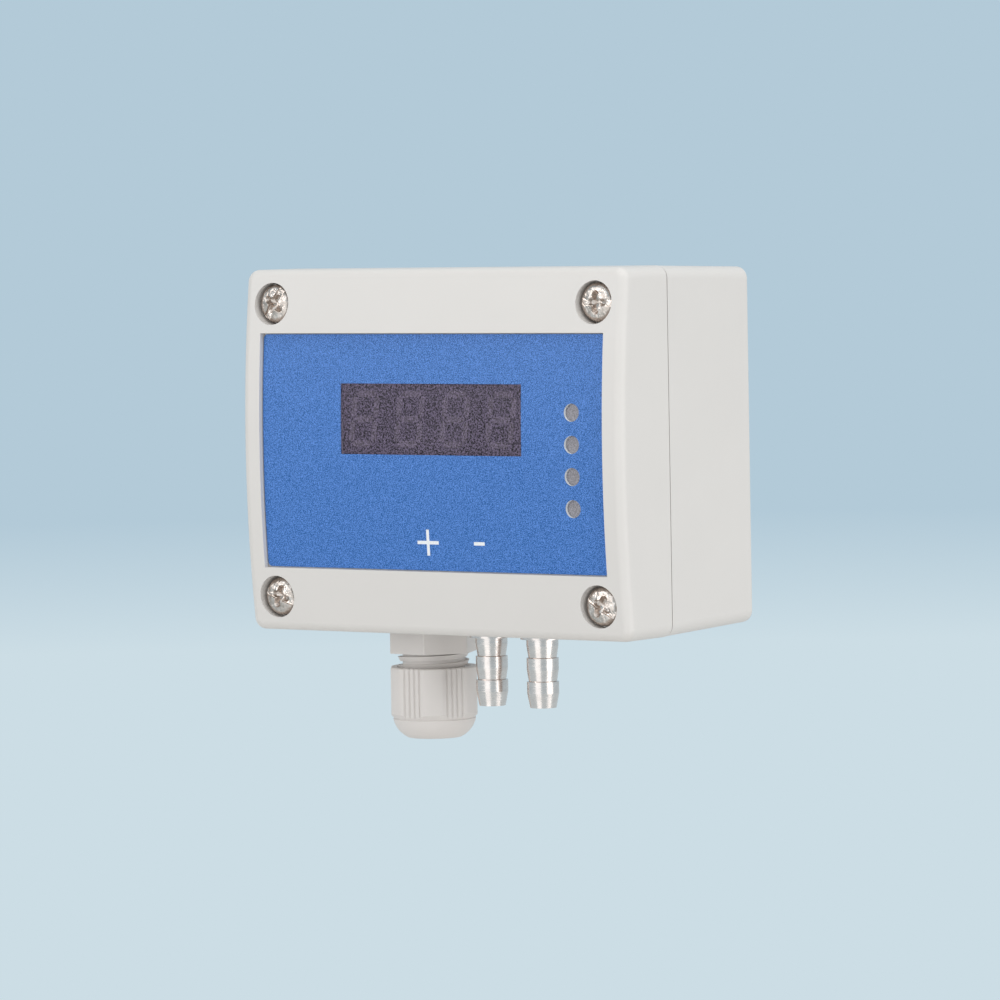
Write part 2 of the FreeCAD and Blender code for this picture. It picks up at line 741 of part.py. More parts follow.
def make_terminal_block():
    body = new_body("terminal_block")
    front = f"({MAIN_BOARD_FRONT} + terminal_thickness)"
    top = f"({TERMINAL_LOW} + terminal_height)"
    side = Profile(body, "YZ_Plane", TERMINAL_X)
    side.outline([
        (f"-{MAIN_BOARD_FRONT}", TERMINAL_LOW),
        (f"-{front}", TERMINAL_LOW),
        (f"-{front}", f"{top} - terminal_chamfer"),
        (f"-{front} + terminal_chamfer", top),
        (f"-{MAIN_BOARD_FRONT}", top),
    ])
    pad(body, side, f"{TERMINAL_COUNT} * terminal_pitch", both_ways=True)
    entries = Profile(body, "XY_Plane", TERMINAL_LOW)
    middle = f"-({MAIN_BOARD_FRONT} + wire_entry_floor + wire_entry / 2)"
    for x in TERMINALS:
        entries.centred_rectangle(x, middle, "wire_entry", "wire_entry")
    pocket(body, entries, "wire_entry_reach", reverse=True)
    wells = Profile(body, "XZ_Plane", front)
    centres = [(x, f"{TERMINAL_LOW} + terminal_height / 2") for x in TERMINALS]
    wells.circles(centres, "terminal_well_diameter / 2")
    pocket(body, wells, "terminal_well_reach")

    screws = new_body("terminal_screws")
    slugs = Profile(screws, "XZ_Plane", f"{front} - terminal_well_reach")
    slugs.circles(centres, "terminal_well_diameter / 2 - terminal_screw_clearance")
    pad(screws, slugs, "terminal_screw_length")


def make_pressure_sensor():
    body = new_body("pressure_sensor")
    case = Profile(body, "XZ_Plane", MAIN_BOARD_FRONT)
    case.rectangle(
        f"{SENSOR_X} - sensor_width / 2",
        f"{SENSOR_X} + sensor_width / 2",
        "sensor_low",
        "sensor_low + sensor_height",
    )
    pad(body, case, "sensor_thickness")
    centres = [(f"{SENSOR_X} + {side} * port_spacing / 2", "-port_depth") for side in (-1, 1)]
    ports = Profile(body, "XY_Plane", "sensor_low")
    ports.circles(centres, "port_diameter / 2")
    pad(body, ports, "port_length", reverse=True)
    bores = Profile(body, "XY_Plane", "sensor_low - port_length")
    bores.circles(centres, "port_bore / 2")
    pocket(body, bores, "port_length", reverse=True)


def route(points, radius):
    """A path of straight runs with a tangent arc of one radius at each inner point."""
    edges = []
    start = points[0]
    for before, corner, after in zip(points, points[1:], points[2:]):
        back = (before - corner).normalize()
        ahead = (after - corner).normalize()
        reach = radius * math.tan(ahead.getAngle(-back) / 2)
        first = corner + back * reach
        last = corner + ahead * reach
        inward = (back + ahead).normalize()
        hypotenuse = (radius ** 2 + reach ** 2) ** 0.5
        middle = corner + inward * (hypotenuse - radius)
        edges.append(Part.LineSegment(start, first).toShape())
        edges.append(Part.Arc(first, middle, last).toShape())
        start = last
    edges.append(Part.LineSegment(start, points[-1]).toShape())
    return Part.Wire(edges)


def sweep(path, section):
    return path.makePipeShell([section], True, False)


def make_tube(label, nozzle_x, port_side):
    """Silicone hose from a nozzle's inner spigot to the sensor's port."""
    thread_top = size(f"nozzle_thread_length - {NOZZLE_SEAT}")
    spigot_top = thread_top + size("spigot_length")
    port_low = size("sensor_low - port_length")
    nozzle_spot = Vector(size(nozzle_x), -size(NOZZLE_DEPTH), 0)
    port_spot = Vector(size(f"{SENSOR_X} + {port_side} * port_spacing / 2"), -size("port_depth"), 0)
    up = Vector(0, 0, 1)
    straight = size("tube_straight")
    points = [
        nozzle_spot + up * (thread_top + size("tube_end_gap")),
        nozzle_spot + up * (spigot_top + straight),
        port_spot + up * (port_low - straight),
        port_spot + up * (size("sensor_low") - size("tube_end_gap")),
    ]
    path = route(points, size("tube_bend_radius"))
    bore = size("port_diameter / 2 + tube_clearance")
    rings = [Part.Wire(Part.Circle(points[0], up, r).toShape()) for r in (bore + size("tube_wall"), bore)]
    tube = doc.addObject("Part::Feature", label)
    tube.Label = label
    tube.Shape = sweep(path, rings[0]).cut(sweep(path, rings[1]))
    tube.Placement = Placement(Vector(), Rotation())
    subparts.append(tube)


def make_ribbon_cable():
    """Flat cable from the top of the display's socket to the underside of the main board's socket."""
    x = size("ribbon_x")
    front_y = -size(f"{DISPLAY_BOARD_BACK} - socket_thickness + socket_lip")
    back_y = -size(f"{MAIN_BOARD_FRONT} + socket_thickness - socket_lip")
    low = size("display_socket_low + socket_height")
    high = size("main_socket_low")
    straight = size("ribbon_straight")
    points = [
        Vector(x, front_y, low),
        Vector(x, front_y, low + straight),
        Vector(x, back_y, high - straight),
        Vector(x, back_y, high),
    ]
    half = size("ribbon_width / 2")
    thin = size("ribbon_thickness / 2")
    corners = [(-half, -thin), (half, -thin), (half, thin), (-half, thin), (-half, -thin)]
    section = Part.makePolygon([points[0] + Vector(dx, dy, 0) for dx, dy in corners])
    ribbon = doc.addObject("Part::Feature", "ribbon_cable")
    ribbon.Label = "ribbon_cable"
    ribbon.Shape = sweep(route(points, size("ribbon_bend_radius")), section)
    ribbon.Placement = Placement(Vector(), Rotation())
    subparts.append(ribbon)


def make_nozzle(label, x):
    """Turned nozzle, made round its own axis with its seat at zero: barbs below, thread and spigot above."""
    body = new_body(label)
    place(body, x, NOZZLE_DEPTH, f"-{NOZZLE_SEAT}")
    bore = "nozzle_bore / 2"
    land = "barb_diameter / 2"
    root = "barb_root_diameter / 2"
    spigot = "port_diameter / 2"
    thread = "nozzle_thread_diameter / 2"
    collar = "collar_diameter / 2"
    collar_top = "-nozzle_washer_thickness"
    collar_low = f"{collar_top} - collar_thickness"
    points = [
        (bore, "nozzle_thread_length + spigot_length"),
        (spigot, "nozzle_thread_length + spigot_length"),
        (spigot, "nozzle_thread_length"),
        (thread, "nozzle_thread_length"),
        (thread, collar_top),
        (collar, collar_top),
        (collar, collar_low),
        (land, collar_low),
    ]
    last_land = "-nozzle_reach + barb_tip_taper"
    for barb in range(BARB_COUNT - 1):
        step = f"{last_land} + barb_land + {BARB_COUNT - 2 - barb} * barb_pitch"
        points += [(land, f"{step} + barb_pitch - barb_land"), (root, step), (land, step)]
    points += [
        (land, last_land),
        ("barb_tip_diameter / 2", "-nozzle_reach"),
        (bore, "-nozzle_reach"),
    ]
    turned = Profile(body, "XZ_Plane")
    turned.outline(points[::-1])
    revolve(body, turned)


def make_nozzle_fixings():
    washers = new_body("nozzle_washers")
    rings = Profile(washers, "XY_Plane", f"-{NOZZLE_SEAT}")
    rings.circles(NOZZLE_SPOTS, "collar_diameter / 2")
    rings.circles(NOZZLE_SPOTS, "nozzle_thread_diameter / 2 + thread_clearance")
    pad(washers, rings, "nozzle_washer_thickness", reverse=True)

    nuts = new_body("nozzle_nuts")
    hexes = Profile(nuts, "XY_Plane", f"-{INNER_FLOOR}")
    for x, y in NOZZLE_SPOTS:
        hexes.hexagon(x, y, "nozzle_nut_flats")
    hexes.circles(NOZZLE_SPOTS, "nozzle_thread_diameter / 2 + thread_clearance")
    pad(nuts, hexes, "nozzle_nut_thickness")


GLAND_HEX_LOW = "(-gland_washer_thickness - gland_hex_height)"
GLAND_NECK_LOW = f"({GLAND_HEX_LOW} - gland_neck_length)"
GLAND_CLAW_LOW = f"({GLAND_NECK_LOW} - claw_length)"
GLAND_NUT_TOP = f"({GLAND_HEX_LOW} - gland_nut_gap)"
GLAND_NUT_LOW = f"({GLAND_NUT_TOP} - gland_nut_length)"


def make_gland_body():
    """Gland body round its own axis, with the wall's outer face at zero."""
    body = new_body("gland_body")
    place(body, GLAND_X, GLAND_DEPTH, f"-{GLAND_SEAT}")
    bore = "gland_bore / 2"
    thread = "gland_thread_diameter / 2"
    neck = "gland_neck_diameter / 2"
    claw = "claw_diameter / 2"
    middle = "-gland_washer_thickness"
    turned = Profile(body, "XZ_Plane")
    turned.outline([
        (bore, GLAND_CLAW_LOW),
        (claw, GLAND_CLAW_LOW),
        (claw, GLAND_NECK_LOW),
        (neck, GLAND_NECK_LOW),
        (neck, middle),
        (thread, middle),
        (thread, "gland_thread_length"),
        (bore, "gland_thread_length"),
    ])
    revolve(body, turned)
    spanner = Profile(body, "XY_Plane", GLAND_HEX_LOW)
    spanner.hexagon("0", "0", "gland_hex_flats", "gland_hex_turn")
    spanner.circle("0", "0", f"{bore} + (gland_neck_diameter - gland_bore) / 4")
    pad(body, spanner, "gland_hex_height")
    fillet(body, "gland_hex_edge", lambda edge: is_upright(edge, "gland_hex_height"))
    slot = Profile(body, "XY_Plane", GLAND_CLAW_LOW)
    slot.centred_rectangle("0", "0", "gland_neck_diameter", "claw_slot")
    cut = pocket(body, slot, "claw_length", reverse=True)
    repeat_round(body, cut, slot, 2 * CLAW_SLOTS)


def make_gland_fixings():
    washer = new_body("gland_washer")
    ring = Profile(washer, "XY_Plane", f"-{GLAND_SEAT}")
    ring.circle(GLAND_X, f"-{GLAND_DEPTH}", "gland_washer_diameter / 2")
    ring.circle(GLAND_X, f"-{GLAND_DEPTH}", "gland_thread_diameter / 2 + thread_clearance")
    pad(washer, ring, "gland_washer_thickness", reverse=True)

    locknut = new_body("gland_locknut")
    hexes = Profile(locknut, "XY_Plane", f"-{INNER_FLOOR}")
    hexes.hexagon(GLAND_X, f"-{GLAND_DEPTH}", "locknut_flats")
    hexes.circle(GLAND_X, f"-{GLAND_DEPTH}", "gland_thread_diameter / 2 + thread_clearance")
    pad(locknut, hexes, "locknut_thickness")

    seal = new_body("gland_seal")
    place(seal, GLAND_X, GLAND_DEPTH, f"-{GLAND_SEAT}")
    sleeve = Profile(seal, "XY_Plane", GLAND_CLAW_LOW)
    sleeve.circle("0", "0", "gland_bore / 2 - seal_clearance")
    sleeve.circle("0", "0", "seal_bore / 2")
    pad(seal, sleeve, "seal_length")


def make_gland_nut():
    """Dome nut: a grip with six flats over a domed end that stands proud of the flats."""
    body = new_body("gland_nut")
    place(body, GLAND_X, GLAND_DEPTH, f"-{GLAND_SEAT}")
    outer = "gland_nut_diameter / 2"
    bore = "gland_neck_diameter / 2 + gland_nut_clearance"
    opening = "gland_opening / 2"
    dome_top = f"{GLAND_NUT_LOW} + gland_dome_height"
    grip = Profile(body, "XY_Plane", dome_top)
    grip.circle("0", "0", outer)
    grip.circle("0", "0", bore)
    pad(body, grip, "gland_nut_length - gland_dome_height")
    flat = Profile(body, "XY_Plane", dome_top)
    half_width = "gland_nut_diameter / 4"
    near = "gland_nut_flats / 2"
    far = "gland_nut_diameter"
    turn = "gland_nut_turn"
    corners = [(near, f"-{half_width}"), (far, f"-{half_width}"), (far, half_width), (near, half_width)]
    flat.outline([
        (f"{x} * cos({turn}) - ({y}) * sin({turn})", f"{x} * sin({turn}) + ({y}) * cos({turn})")
        for x, y in corners
    ])
    cut = pocket(body, flat, "gland_nut_length", reverse=True)
    repeat_round(body, cut, flat, HEX_SIDES)
    grooves = Profile(body, "XY_Plane", dome_top)
    for angle in in_a_row(f"gland_nut_turn + {180 / HEX_SIDES}", "gland_groove_turn", GROOVES_PER_SIDE):
        grooves.circle(f"{outer} * cos({angle})", f"{outer} * sin({angle})", "gland_groove_width / 2")
    cut = pocket(body, grooves, "gland_nut_length", reverse=True)
    repeat_round(body, cut, grooves, HEX_SIDES)

    dome = Profile(body, "XZ_Plane")
    cone_low = f"{GLAND_NUT_LOW} + gland_opening_length"
    cone_top = f"{cone_low} + gland_cone_length"
    lip = "gland_nut_flats / 2 - gland_dome_sunk"
    dome.outline(
        [
            ("gland_dome_land", GLAND_NUT_LOW),
            (outer, dome_top),
            (lip, f"{dome_top} + gland_dome_lip"),
            (bore, f"{dome_top} + gland_dome_lip"),
            (bore, cone_top),
            (opening, cone_low),
            (opening, GLAND_NUT_LOW),
        ],
        {0: ("gland_dome_bulge", (f"{outer} - gland_dome_lip", f"{GLAND_NUT_LOW} + gland_dome_lip"))},
    )
    revolve(body, dome)


def make_small_parts():
    chip = new_body("microcontroller")
    case = Profile(chip, "XZ_Plane", MAIN_BOARD_FRONT)
    case.centred_rectangle(f"{NARROW_HALF} - chip_inset", "chip_z", "chip_size", "chip_size")
    pad(chip, case, "chip_thickness")
    chamfer(chip, "chip_chamfer", lambda edge: at_depth(edge, f"{MAIN_BOARD_FRONT} + chip_thickness"))

    capacitors = new_body("capacitors")
    cans = Profile(capacitors, "XZ_Plane", MAIN_BOARD_FRONT)
    cans.circle(f"left_capacitor_inset - {NARROW_HALF}", "left_capacitor_z", "capacitor_diameter / 2")
    cans.circle(f"{NARROW_HALF} - right_capacitor_inset", "right_capacitor_z", "capacitor_diameter / 2")
    pad(capacitors, cans, "capacitor_height")
    top = f"{MAIN_BOARD_FRONT} + capacitor_height"
    chamfer(capacitors, "capacitor_chamfer", lambda edge: at_depth(edge, top))


def make_tact_switch():
    switch_z = f"({MAIN_BOARD_HIGH} - switch_inset)"
    switch_top = f"({MAIN_BOARD_FRONT} + switch_thickness)"
    body = new_body("tact_switch")
    case = Profile(body, "XZ_Plane", MAIN_BOARD_FRONT)
    case.centred_rectangle("switch_x", switch_z, "switch_size", "switch_size")
    pad(body, case, "switch_thickness")
    well = Profile(body, "XZ_Plane", switch_top)
    well.circle("switch_x", switch_z, "plunger_diameter / 2 + plunger_clearance")
    pocket(body, well, "plunger_sunk + plunger_room")

    plunger = new_body("tact_plunger")
    stem = Profile(plunger, "XZ_Plane", f"{switch_top} - plunger_sunk")
    stem.circle("switch_x", switch_z, "plunger_diameter / 2")
    pad(plunger, stem, "plunger_sunk + plunger_height")


def export_all():
    doc.recompute()
    for item in doc.Objects:
        if "Invalid" in item.State or "Error" in item.State:
            raise RuntimeError(f"{item.Label} failed: {item.State}")
    for part in subparts:
        if part.Shape.isNull() or not part.Shape.isValid() or not part.Shape.Solids:
            raise RuntimeError(f"{part.Label} has no valid solid")
    os.makedirs("parts", exist_ok=True)
    for part in subparts:
        part.Shape.exportStep(f"parts/{part.Label}.step")


make_rear_housing()
make_front_cover()
make_cover_gasket()
make_cover_screws()
make_thread_inserts()
make_front_label()
make_display()
make_status_leds()
make_display_board()
make_board_screws("display_board_screws", DISPLAY_POSTS, DISPLAY_BOARD_BACK, heads_to_front=False)
make_main_board()
make_board_screws("main_board_screws", MAIN_BOSSES, MAIN_BOARD_FRONT, heads_to_front=True)
make_socket("display_socket", "display_socket_low", DISPLAY_BOARD_BACK, to_front=False)
make_socket("main_socket", "main_socket_low", MAIN_BOARD_FRONT, to_front=True)
make_ribbon_cable()
make_terminal_block()
make_pressure_sensor()
make_nozzle("pressure_nozzle_plus", "nozzle_plus_x")
make_nozzle("pressure_nozzle_minus", "nozzle_minus_x")
make_nozzle_fixings()
make_tube("pressure_tube_plus", "nozzle_plus_x", -1)
make_tube("pressure_tube_minus", "nozzle_minus_x", 1)
make_gland_body()
make_gland_fixings()
make_gland_nut()
make_small_parts()
make_tact_switch()
export_all()
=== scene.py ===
import math

import bmesh
import bpy
from bpy.props import FloatProperty, FloatVectorProperty, IntProperty, PointerProperty
from bpy.types import Operator, Panel, PropertyGroup
from mathutils import Matrix, Vector
from mathutils.geometry import delaunay_2d_cdt


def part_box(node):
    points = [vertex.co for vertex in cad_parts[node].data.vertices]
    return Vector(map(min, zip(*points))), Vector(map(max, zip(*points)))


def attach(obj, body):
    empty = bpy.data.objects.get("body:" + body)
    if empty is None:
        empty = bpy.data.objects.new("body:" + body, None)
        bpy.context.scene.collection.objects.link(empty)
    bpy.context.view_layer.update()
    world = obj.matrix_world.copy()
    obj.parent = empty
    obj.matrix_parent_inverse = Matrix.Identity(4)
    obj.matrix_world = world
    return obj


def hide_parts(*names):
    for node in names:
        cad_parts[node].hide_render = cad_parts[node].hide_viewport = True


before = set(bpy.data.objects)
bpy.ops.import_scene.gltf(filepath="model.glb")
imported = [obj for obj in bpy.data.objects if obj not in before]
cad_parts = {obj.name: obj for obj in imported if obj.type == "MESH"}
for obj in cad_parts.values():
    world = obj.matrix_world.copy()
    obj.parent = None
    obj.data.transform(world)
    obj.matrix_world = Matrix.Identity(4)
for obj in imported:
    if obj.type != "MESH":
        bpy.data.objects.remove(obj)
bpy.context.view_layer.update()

bl_info = {
    "name": "Pressure controller",
    "version": (1, 0, 0),
    "blender": (4, 5, 0),
    "location": "3D View > Sidebar > Controller",
    "description": "Finishes and fine parts of a wall-mounted differential pressure controller",
    "category": "Object",
}

# Metres, in the frame of the solids: +Z is up, the front faces -Y and the back face lies in Y = 0.
MM = 0.001
LABEL_LOW, LABEL_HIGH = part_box("front_label")
DISPLAY_LOW, DISPLAY_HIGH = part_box("display_module")
LEDS_LOW, LEDS_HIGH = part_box("status_leds")
SCREWS_LOW, SCREWS_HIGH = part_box("cover_screws")
NUT_LOW, NUT_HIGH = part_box("gland_nut")
PLUS_LOW, PLUS_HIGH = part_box("pressure_nozzle_plus")
MINUS_LOW, MINUS_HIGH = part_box("pressure_nozzle_minus")
LED_COUNT = 4
LED_FLANGE = LEDS_HIGH.x - LEDS_LOW.x
LED_PITCH = (LEDS_HIGH.z - LEDS_LOW.z - LED_FLANGE) / (LED_COUNT - 1)
# Places of the film's paints in its list of materials
PRINT, WINDOW, DOT, WHITE = range(4)
# Turn of every noise off the piece's axes, because it fades on level planes of its own grid
NOISE_TURN = (0.6, 0.35, 0.9)
# Sides of the gland nut's grip, and the degrees from one to the next
SIDES = 6
SIDE_TURN = 360 / SIDES
# Place and size of each lamp. Its power is one of the stage's settings
LAMPS = {
    "front": ((0.0, -1.25, 0.05), (0.9, 1.8)),
    "side": ((1.25, -0.1, 0.35), (1.0, 2.3)),
    "left": ((-0.64, -1.1, 0.27), (0.5, 0.4)),
    "top": ((0.1, -0.35, 1.3), (1.2, 1.0)),
}
# Rise of the view, as a sine, over which the lower background turns into the upper one
BACKGROUND_FROM, BACKGROUND_TO = -0.079, -0.056
# Shares of the floor's radius between which it fades out
FADE_FROM, FADE_TO = 0.3, 0.95


def length(name, default, description):
    """A size or a place in metres."""
    return FloatProperty(name=name, description=description, default=default, unit="LENGTH", precision=5)


def turn(name, degrees, description):
    return FloatProperty(name=name, description=description, default=math.radians(degrees), subtype="ANGLE")


def to_linear(level):
    share = level / 255
    return share / 12.92 if share <= 0.04045 else ((share + 0.055) / 1.055) ** 2.4


def colour(name, red, green, blue, description):
    """A colour from its screen levels."""
    linear = tuple(to_linear(level) for level in (red, green, blue))
    return FloatVectorProperty(
        name=name, description=description, default=linear, subtype="COLOR", min=0, max=1
    )


def power(name, watts, description):
    return FloatProperty(name=name, description=description, default=watts, unit="POWER")


class ShellSettings(PropertyGroup):
    """Colours of the moulded, turned and bought-in parts."""
    shell: colour("Housing", 221, 219, 216, "Light grey plastic of base and cover")
    gland: colour("Gland", 224, 220, 217, "Grey polyamide of the cable gland")
    nozzle: colour("Nozzles", 227, 213, 205, "Turned aluminium")
    screw: colour("Screws", 212, 194, 181, "Nickel-plated steel")
    brass: colour("Brass", 196, 164, 92, "Nuts and thread inserts")
    rubber: colour("Seals", 38, 38, 39, "Gasket, washers and gland seal")
    led: colour("Indicators", 150, 149, 157, "Diffusing body of the unlit indicators")
    laminate: colour("Boards", 28, 92, 58, "Solder mask of the circuit boards")
    terminal: colour("Terminals", 52, 118, 74, "Terminal block")
    hose: colour("Hoses", 222, 224, 224, "Silicone hoses")
    ribbon: colour("Ribbon", 168, 170, 172, "Insulation of the ribbon cable")


class LabelSettings(PropertyGroup):
    """Film label that follows the crown of the cover."""
    width: length("Width", LABEL_HIGH.x - LABEL_LOW.x, "Label width")
    height: length("Height", LABEL_HIGH.z - LABEL_LOW.z, "Label height")
    corner_radius: length("Corner radius", 0.8 * MM, "Radius of the label corners")
    thickness: length("Thickness", 0.25 * MM, "Film thickness")
    front: length("Front", -LABEL_LOW.y, "Depth of the film's face at its middle, from the housing's back")
    crown_radius: length("Crown radius", 247.7 * MM, "Radius of the film, which follows the crowned cover")
    window_width: length("Window width", 39.9 * MM, "Clear window over the display")
    window_height: length("Window height", 12.8 * MM, "Clear window over the display")
    window_corner: length("Window corner", 0.15 * MM, "Radius of the window's corners")
    window_z: length("Window place", (DISPLAY_LOW.z + DISPLAY_HIGH.z) / 2, "Height of the window's middle")
    dot_radius: length("Dot radius", 1.6 * MM, "Clear dot over an indicator")
    dot_rim: length("Dot rim", 1.65 * MM, "Outer radius of the pressed-in pocket round a dot")
    dot_sink: length("Dot sink", 0.57 * MM, "How far a dot is pressed in towards its indicator")
    dot_skin: length("Dot skin", 0.05 * MM, "Film thickness of a pressed-in dot")
    plus_span: length("Plus span", 4.7 * MM, "Length of each stroke of the plus")
    minus_span: length("Minus span", 2.35 * MM, "Length of the minus")
    stroke: length("Stroke", 0.62 * MM, "Stroke width of the port marks")
    marks_z: length("Marks place", -16.2 * MM, "Height of the port marks")
    print_colour: colour("Print", 37, 110, 192, "Blue print of the film")
    mark_colour: colour("Marks", 238, 242, 246, "White port marks")
    window_colour: colour("Window", 108, 98, 122, "Haze of the matt window")
    dot_colour: colour("Dots", 178, 177, 184, "Haze of the matt dots")


class DisplaySettings(PropertyGroup):
    """Four-digit seven-segment module."""
    digits: IntProperty(name="Digits", description="Number of digits", default=4, min=1)
    pitch: length("Pitch", 10.07 * MM, "Distance between digits")
    digit_height: length("Digit height", 10.15 * MM, "Height of a digit")
    digit_width: length("Digit width", 6.1 * MM, "Width of a digit before it is slanted")
    segment: length("Segment", 1.15 * MM, "Width of a segment")
    gap: length("Gap", 0.22 * MM, "Gap between segments")
    slant: turn("Slant", 7.5, "Lean of the digits")
    raise_by: length("Raise", 0.04 * MM, "How far the diffusers stand out of the face")
    edge: length("Edge", 0.35 * MM, "Rounding of the module's edges")
    face_colour: colour("Face", 44, 38, 46, "Dark face of the module")
    segment_colour: colour("Segments", 142, 132, 144, "Unlit diffusers")


class ScrewSettings(PropertyGroup):
    """Pan-head cover screws with slot and cross."""
    head_radius: length("Head radius", 3.5 * MM, "Radius of the pan head")
    head_height: length("Head height", 2.6 * MM, "Height of the pan head")
    crown: length("Crown", 0.28 * MM, "Rise of the pan head's face")
    edge_radius: length("Edge radius", 1.15 * MM, "Rounding of the pan head")
    shank_radius: length("Shank radius", 1.95 * MM, "Radius of the shank")
    shank_length: length("Shank length", 17.0 * MM, "Length under the head")
    slot_width: length("Slot width", 1.4 * MM, "Width of the slot")
    slot_depth: length("Slot depth", 0.65 * MM, "Depth of the slot")
    cross_span: length("Cross span", 4.6 * MM, "Span of the cross at the face")
    cross_width: length("Cross width", 1.5 * MM, "Width of the cross's wings")
    cross_depth: length("Cross depth", 1.3 * MM, "Depth of the cross")
    edge_break: length("Edge break", 0.19 * MM, "Broken edges of slot and cross")
    break_from: turn("Break from", 38, "Least angle of an edge that is broken")
    turn_top_left: turn("Top left", 56, "Turn of the top left slot")
    turn_top_right: turn("Top right", -2, "Turn of the top right slot")
    turn_low_left: turn("Lower left", -19, "Turn of the lower left slot")
    turn_low_right: turn("Lower right", -30, "Turn of the lower right slot")


class GlandSettings(PropertyGroup):
    """Domed gland nut and the thread under it."""
    flats: length("Flats", 15.9 * MM, "Width across the grip's grooved flats")
    corner: length("Corner", 8.35 * MM, "Radius of the grip at its rounded corners")
    corner_blend: length("Corner blend", 0.04 * MM, "Softness of the edges between corners and flats")
    nut_turn: turn("Turn", 4.7, "Turn of the first corner")
    top_round: length("Top round", 0.3 * MM, "Rounding of the nut's upper edge")
    dome_height: length("Dome height", 3.6 * MM, "Height of the domed end")
    dome_bulge: length("Dome bulge", 4.9 * MM, "Radius of the dome's curve")
    dome_land: length("Dome land", 4.95 * MM, "Radius where the dome meets the end face")
    chamfer_height: length("Chamfer height", 0.95 * MM, "Height of the corners' chamfer over the dome")
    chamfer_sink: length("Chamfer sink", 0.85 * MM, "How far the chamfer runs in, down to the crease")
    crease: length("Crease", 0.18 * MM, "How far the dome stands out under the crease")
    crease_height: length("Crease height", 0.12 * MM, "Height of the crease over the dome")
    groove_width: length("Groove width", 0.62 * MM, "Width of a grip groove")
    groove_depth: length("Groove depth", 0.3 * MM, "Depth of a grip groove")
    groove_turn: turn("Groove pitch", 7.6, "Angle between grooves")
    grooves: IntProperty(name="Grooves", description="Grooves in each flat", default=4, min=0)
    bore: length("Bore", 6.53 * MM, "Radius of the nut's bore")
    bore_lead: length("Bore lead", 0.4 * MM, "Chamfer at the upper end of the bore")
    opening: length("Opening", 4.0 * MM, "Radius of the cable opening")
    opening_break: length("Opening break", 0.15 * MM, "Broken edge of the cable opening")
    opening_length: length("Opening length", 1.5 * MM, "Straight length of the opening")
    cone_length: length("Cone length", 4.5 * MM, "Length of the cone that presses the claws")
    thread_root: length("Thread root", 5.6 * MM, "Radius where the thread's ridge starts, inside the neck")
    thread_crest: length("Thread crest", 6.45 * MM, "Radius of the thread's crest")
    thread_pitch: length("Thread pitch", 1.5 * MM, "Pitch of the thread")
    thread_top: length("Thread top", -36.45 * MM, "Height where the thread starts, inside the hexagon")
    thread_length: length("Thread length", 10.0 * MM, "Length of the thread")


class StageSettings(PropertyGroup):
    """Camera, lamps, floor and background."""
    camera_place: FloatVectorProperty(
        name="Camera",
        description="Place of the camera",
        subtype="TRANSLATION",
        default=(0.590538, -0.855285, 0.045015),
    )
    camera_turn: FloatVectorProperty(
        name="Camera turn",
        description="Turn of the camera",
        subtype="EULER",
        default=(math.radians(86.93883), math.radians(1.02185), math.radians(35.23498)),
    )
    camera_lens: FloatProperty(name="Lens", description="Focal length in millimetres", default=201.944)
    front_power: power("Front lamp", 4.2, "Power of the lamp before the cover")
    side_power: power("Side lamp", 11.6, "Power of the lamp at the right side")
    left_power: power("Left lamp", 2.7, "Power of the lamp towards the left")
    top_power: power("Top lamp", 5.0, "Power of the overhead lamp")
    fill: FloatProperty(name="Fill", description="Even light from all round", default=0.5)
    fill_colour: FloatVectorProperty(
        name="Fill colour",
        description="Colour of the even light",
        subtype="COLOR",
        default=(1, 0.99, 0.975),
    )
    floor_z: length("Floor", -250 * MM, "Height of the floor")
    floor_radius: length("Floor radius", 0.4, "Radius of the floor")
    floor_colour: colour("Floor", 226, 225, 222, "Pale floor")
    background_high: colour("Background", 179, 202, 216, "Pale background behind the upper part")
    background_low: colour("Lower background", 204, 221, 229, "Pale background behind the lower part")


class ControllerSettings(PropertyGroup):
    """All sizes and colours of the controller."""
    shell: PointerProperty(type=ShellSettings)
    label: PointerProperty(type=LabelSettings)
    display: PointerProperty(type=DisplaySettings)
    screws: PointerProperty(type=ScrewSettings)
    gland: PointerProperty(type=GlandSettings)
    stage: PointerProperty(type=StageSettings)


def lighter(tone, share):
    """The tone moved towards white by a positive share, or towards black by a negative one."""
    target = 1.0 if share > 0 else 0.0
    return [channel + (target - channel) * abs(share) for channel in tone] + [1.0]


def scaled(tone, factor):
    return [min(1.0, channel * factor) for channel in tone] + [1.0]


def feed(tree, socket, value):
    """Links an input to another node's socket or sets it to a value."""
    if isinstance(value, bpy.types.NodeSocket):
        tree.links.new(value, socket)
    else:
        socket.default_value = value


def add_node(tree, kind, settings=None, *values, **named):
    """A node with its settings, whose inputs are fed in their order or by name."""
    node = tree.nodes.new(kind)
    for key, value in (settings or {}).items():
        setattr(node, key, value)
    for socket, value in zip(node.inputs, values):
        feed(tree, socket, value)
    for key, value in named.items():
        feed(tree, node.inputs[key.replace("_", " ")], value)
    return node


def mixed_colour(tree, share, first, second):
    """Socket of a mix between two colours."""
    mix = add_node(tree, "ShaderNodeMix", {"data_type": "RGBA"}, share)
    # By place, because the sockets for colours share their names with those for numbers
    feed(tree, mix.inputs[6], first)
    feed(tree, mix.inputs[7], second)
    return mix.outputs[2]


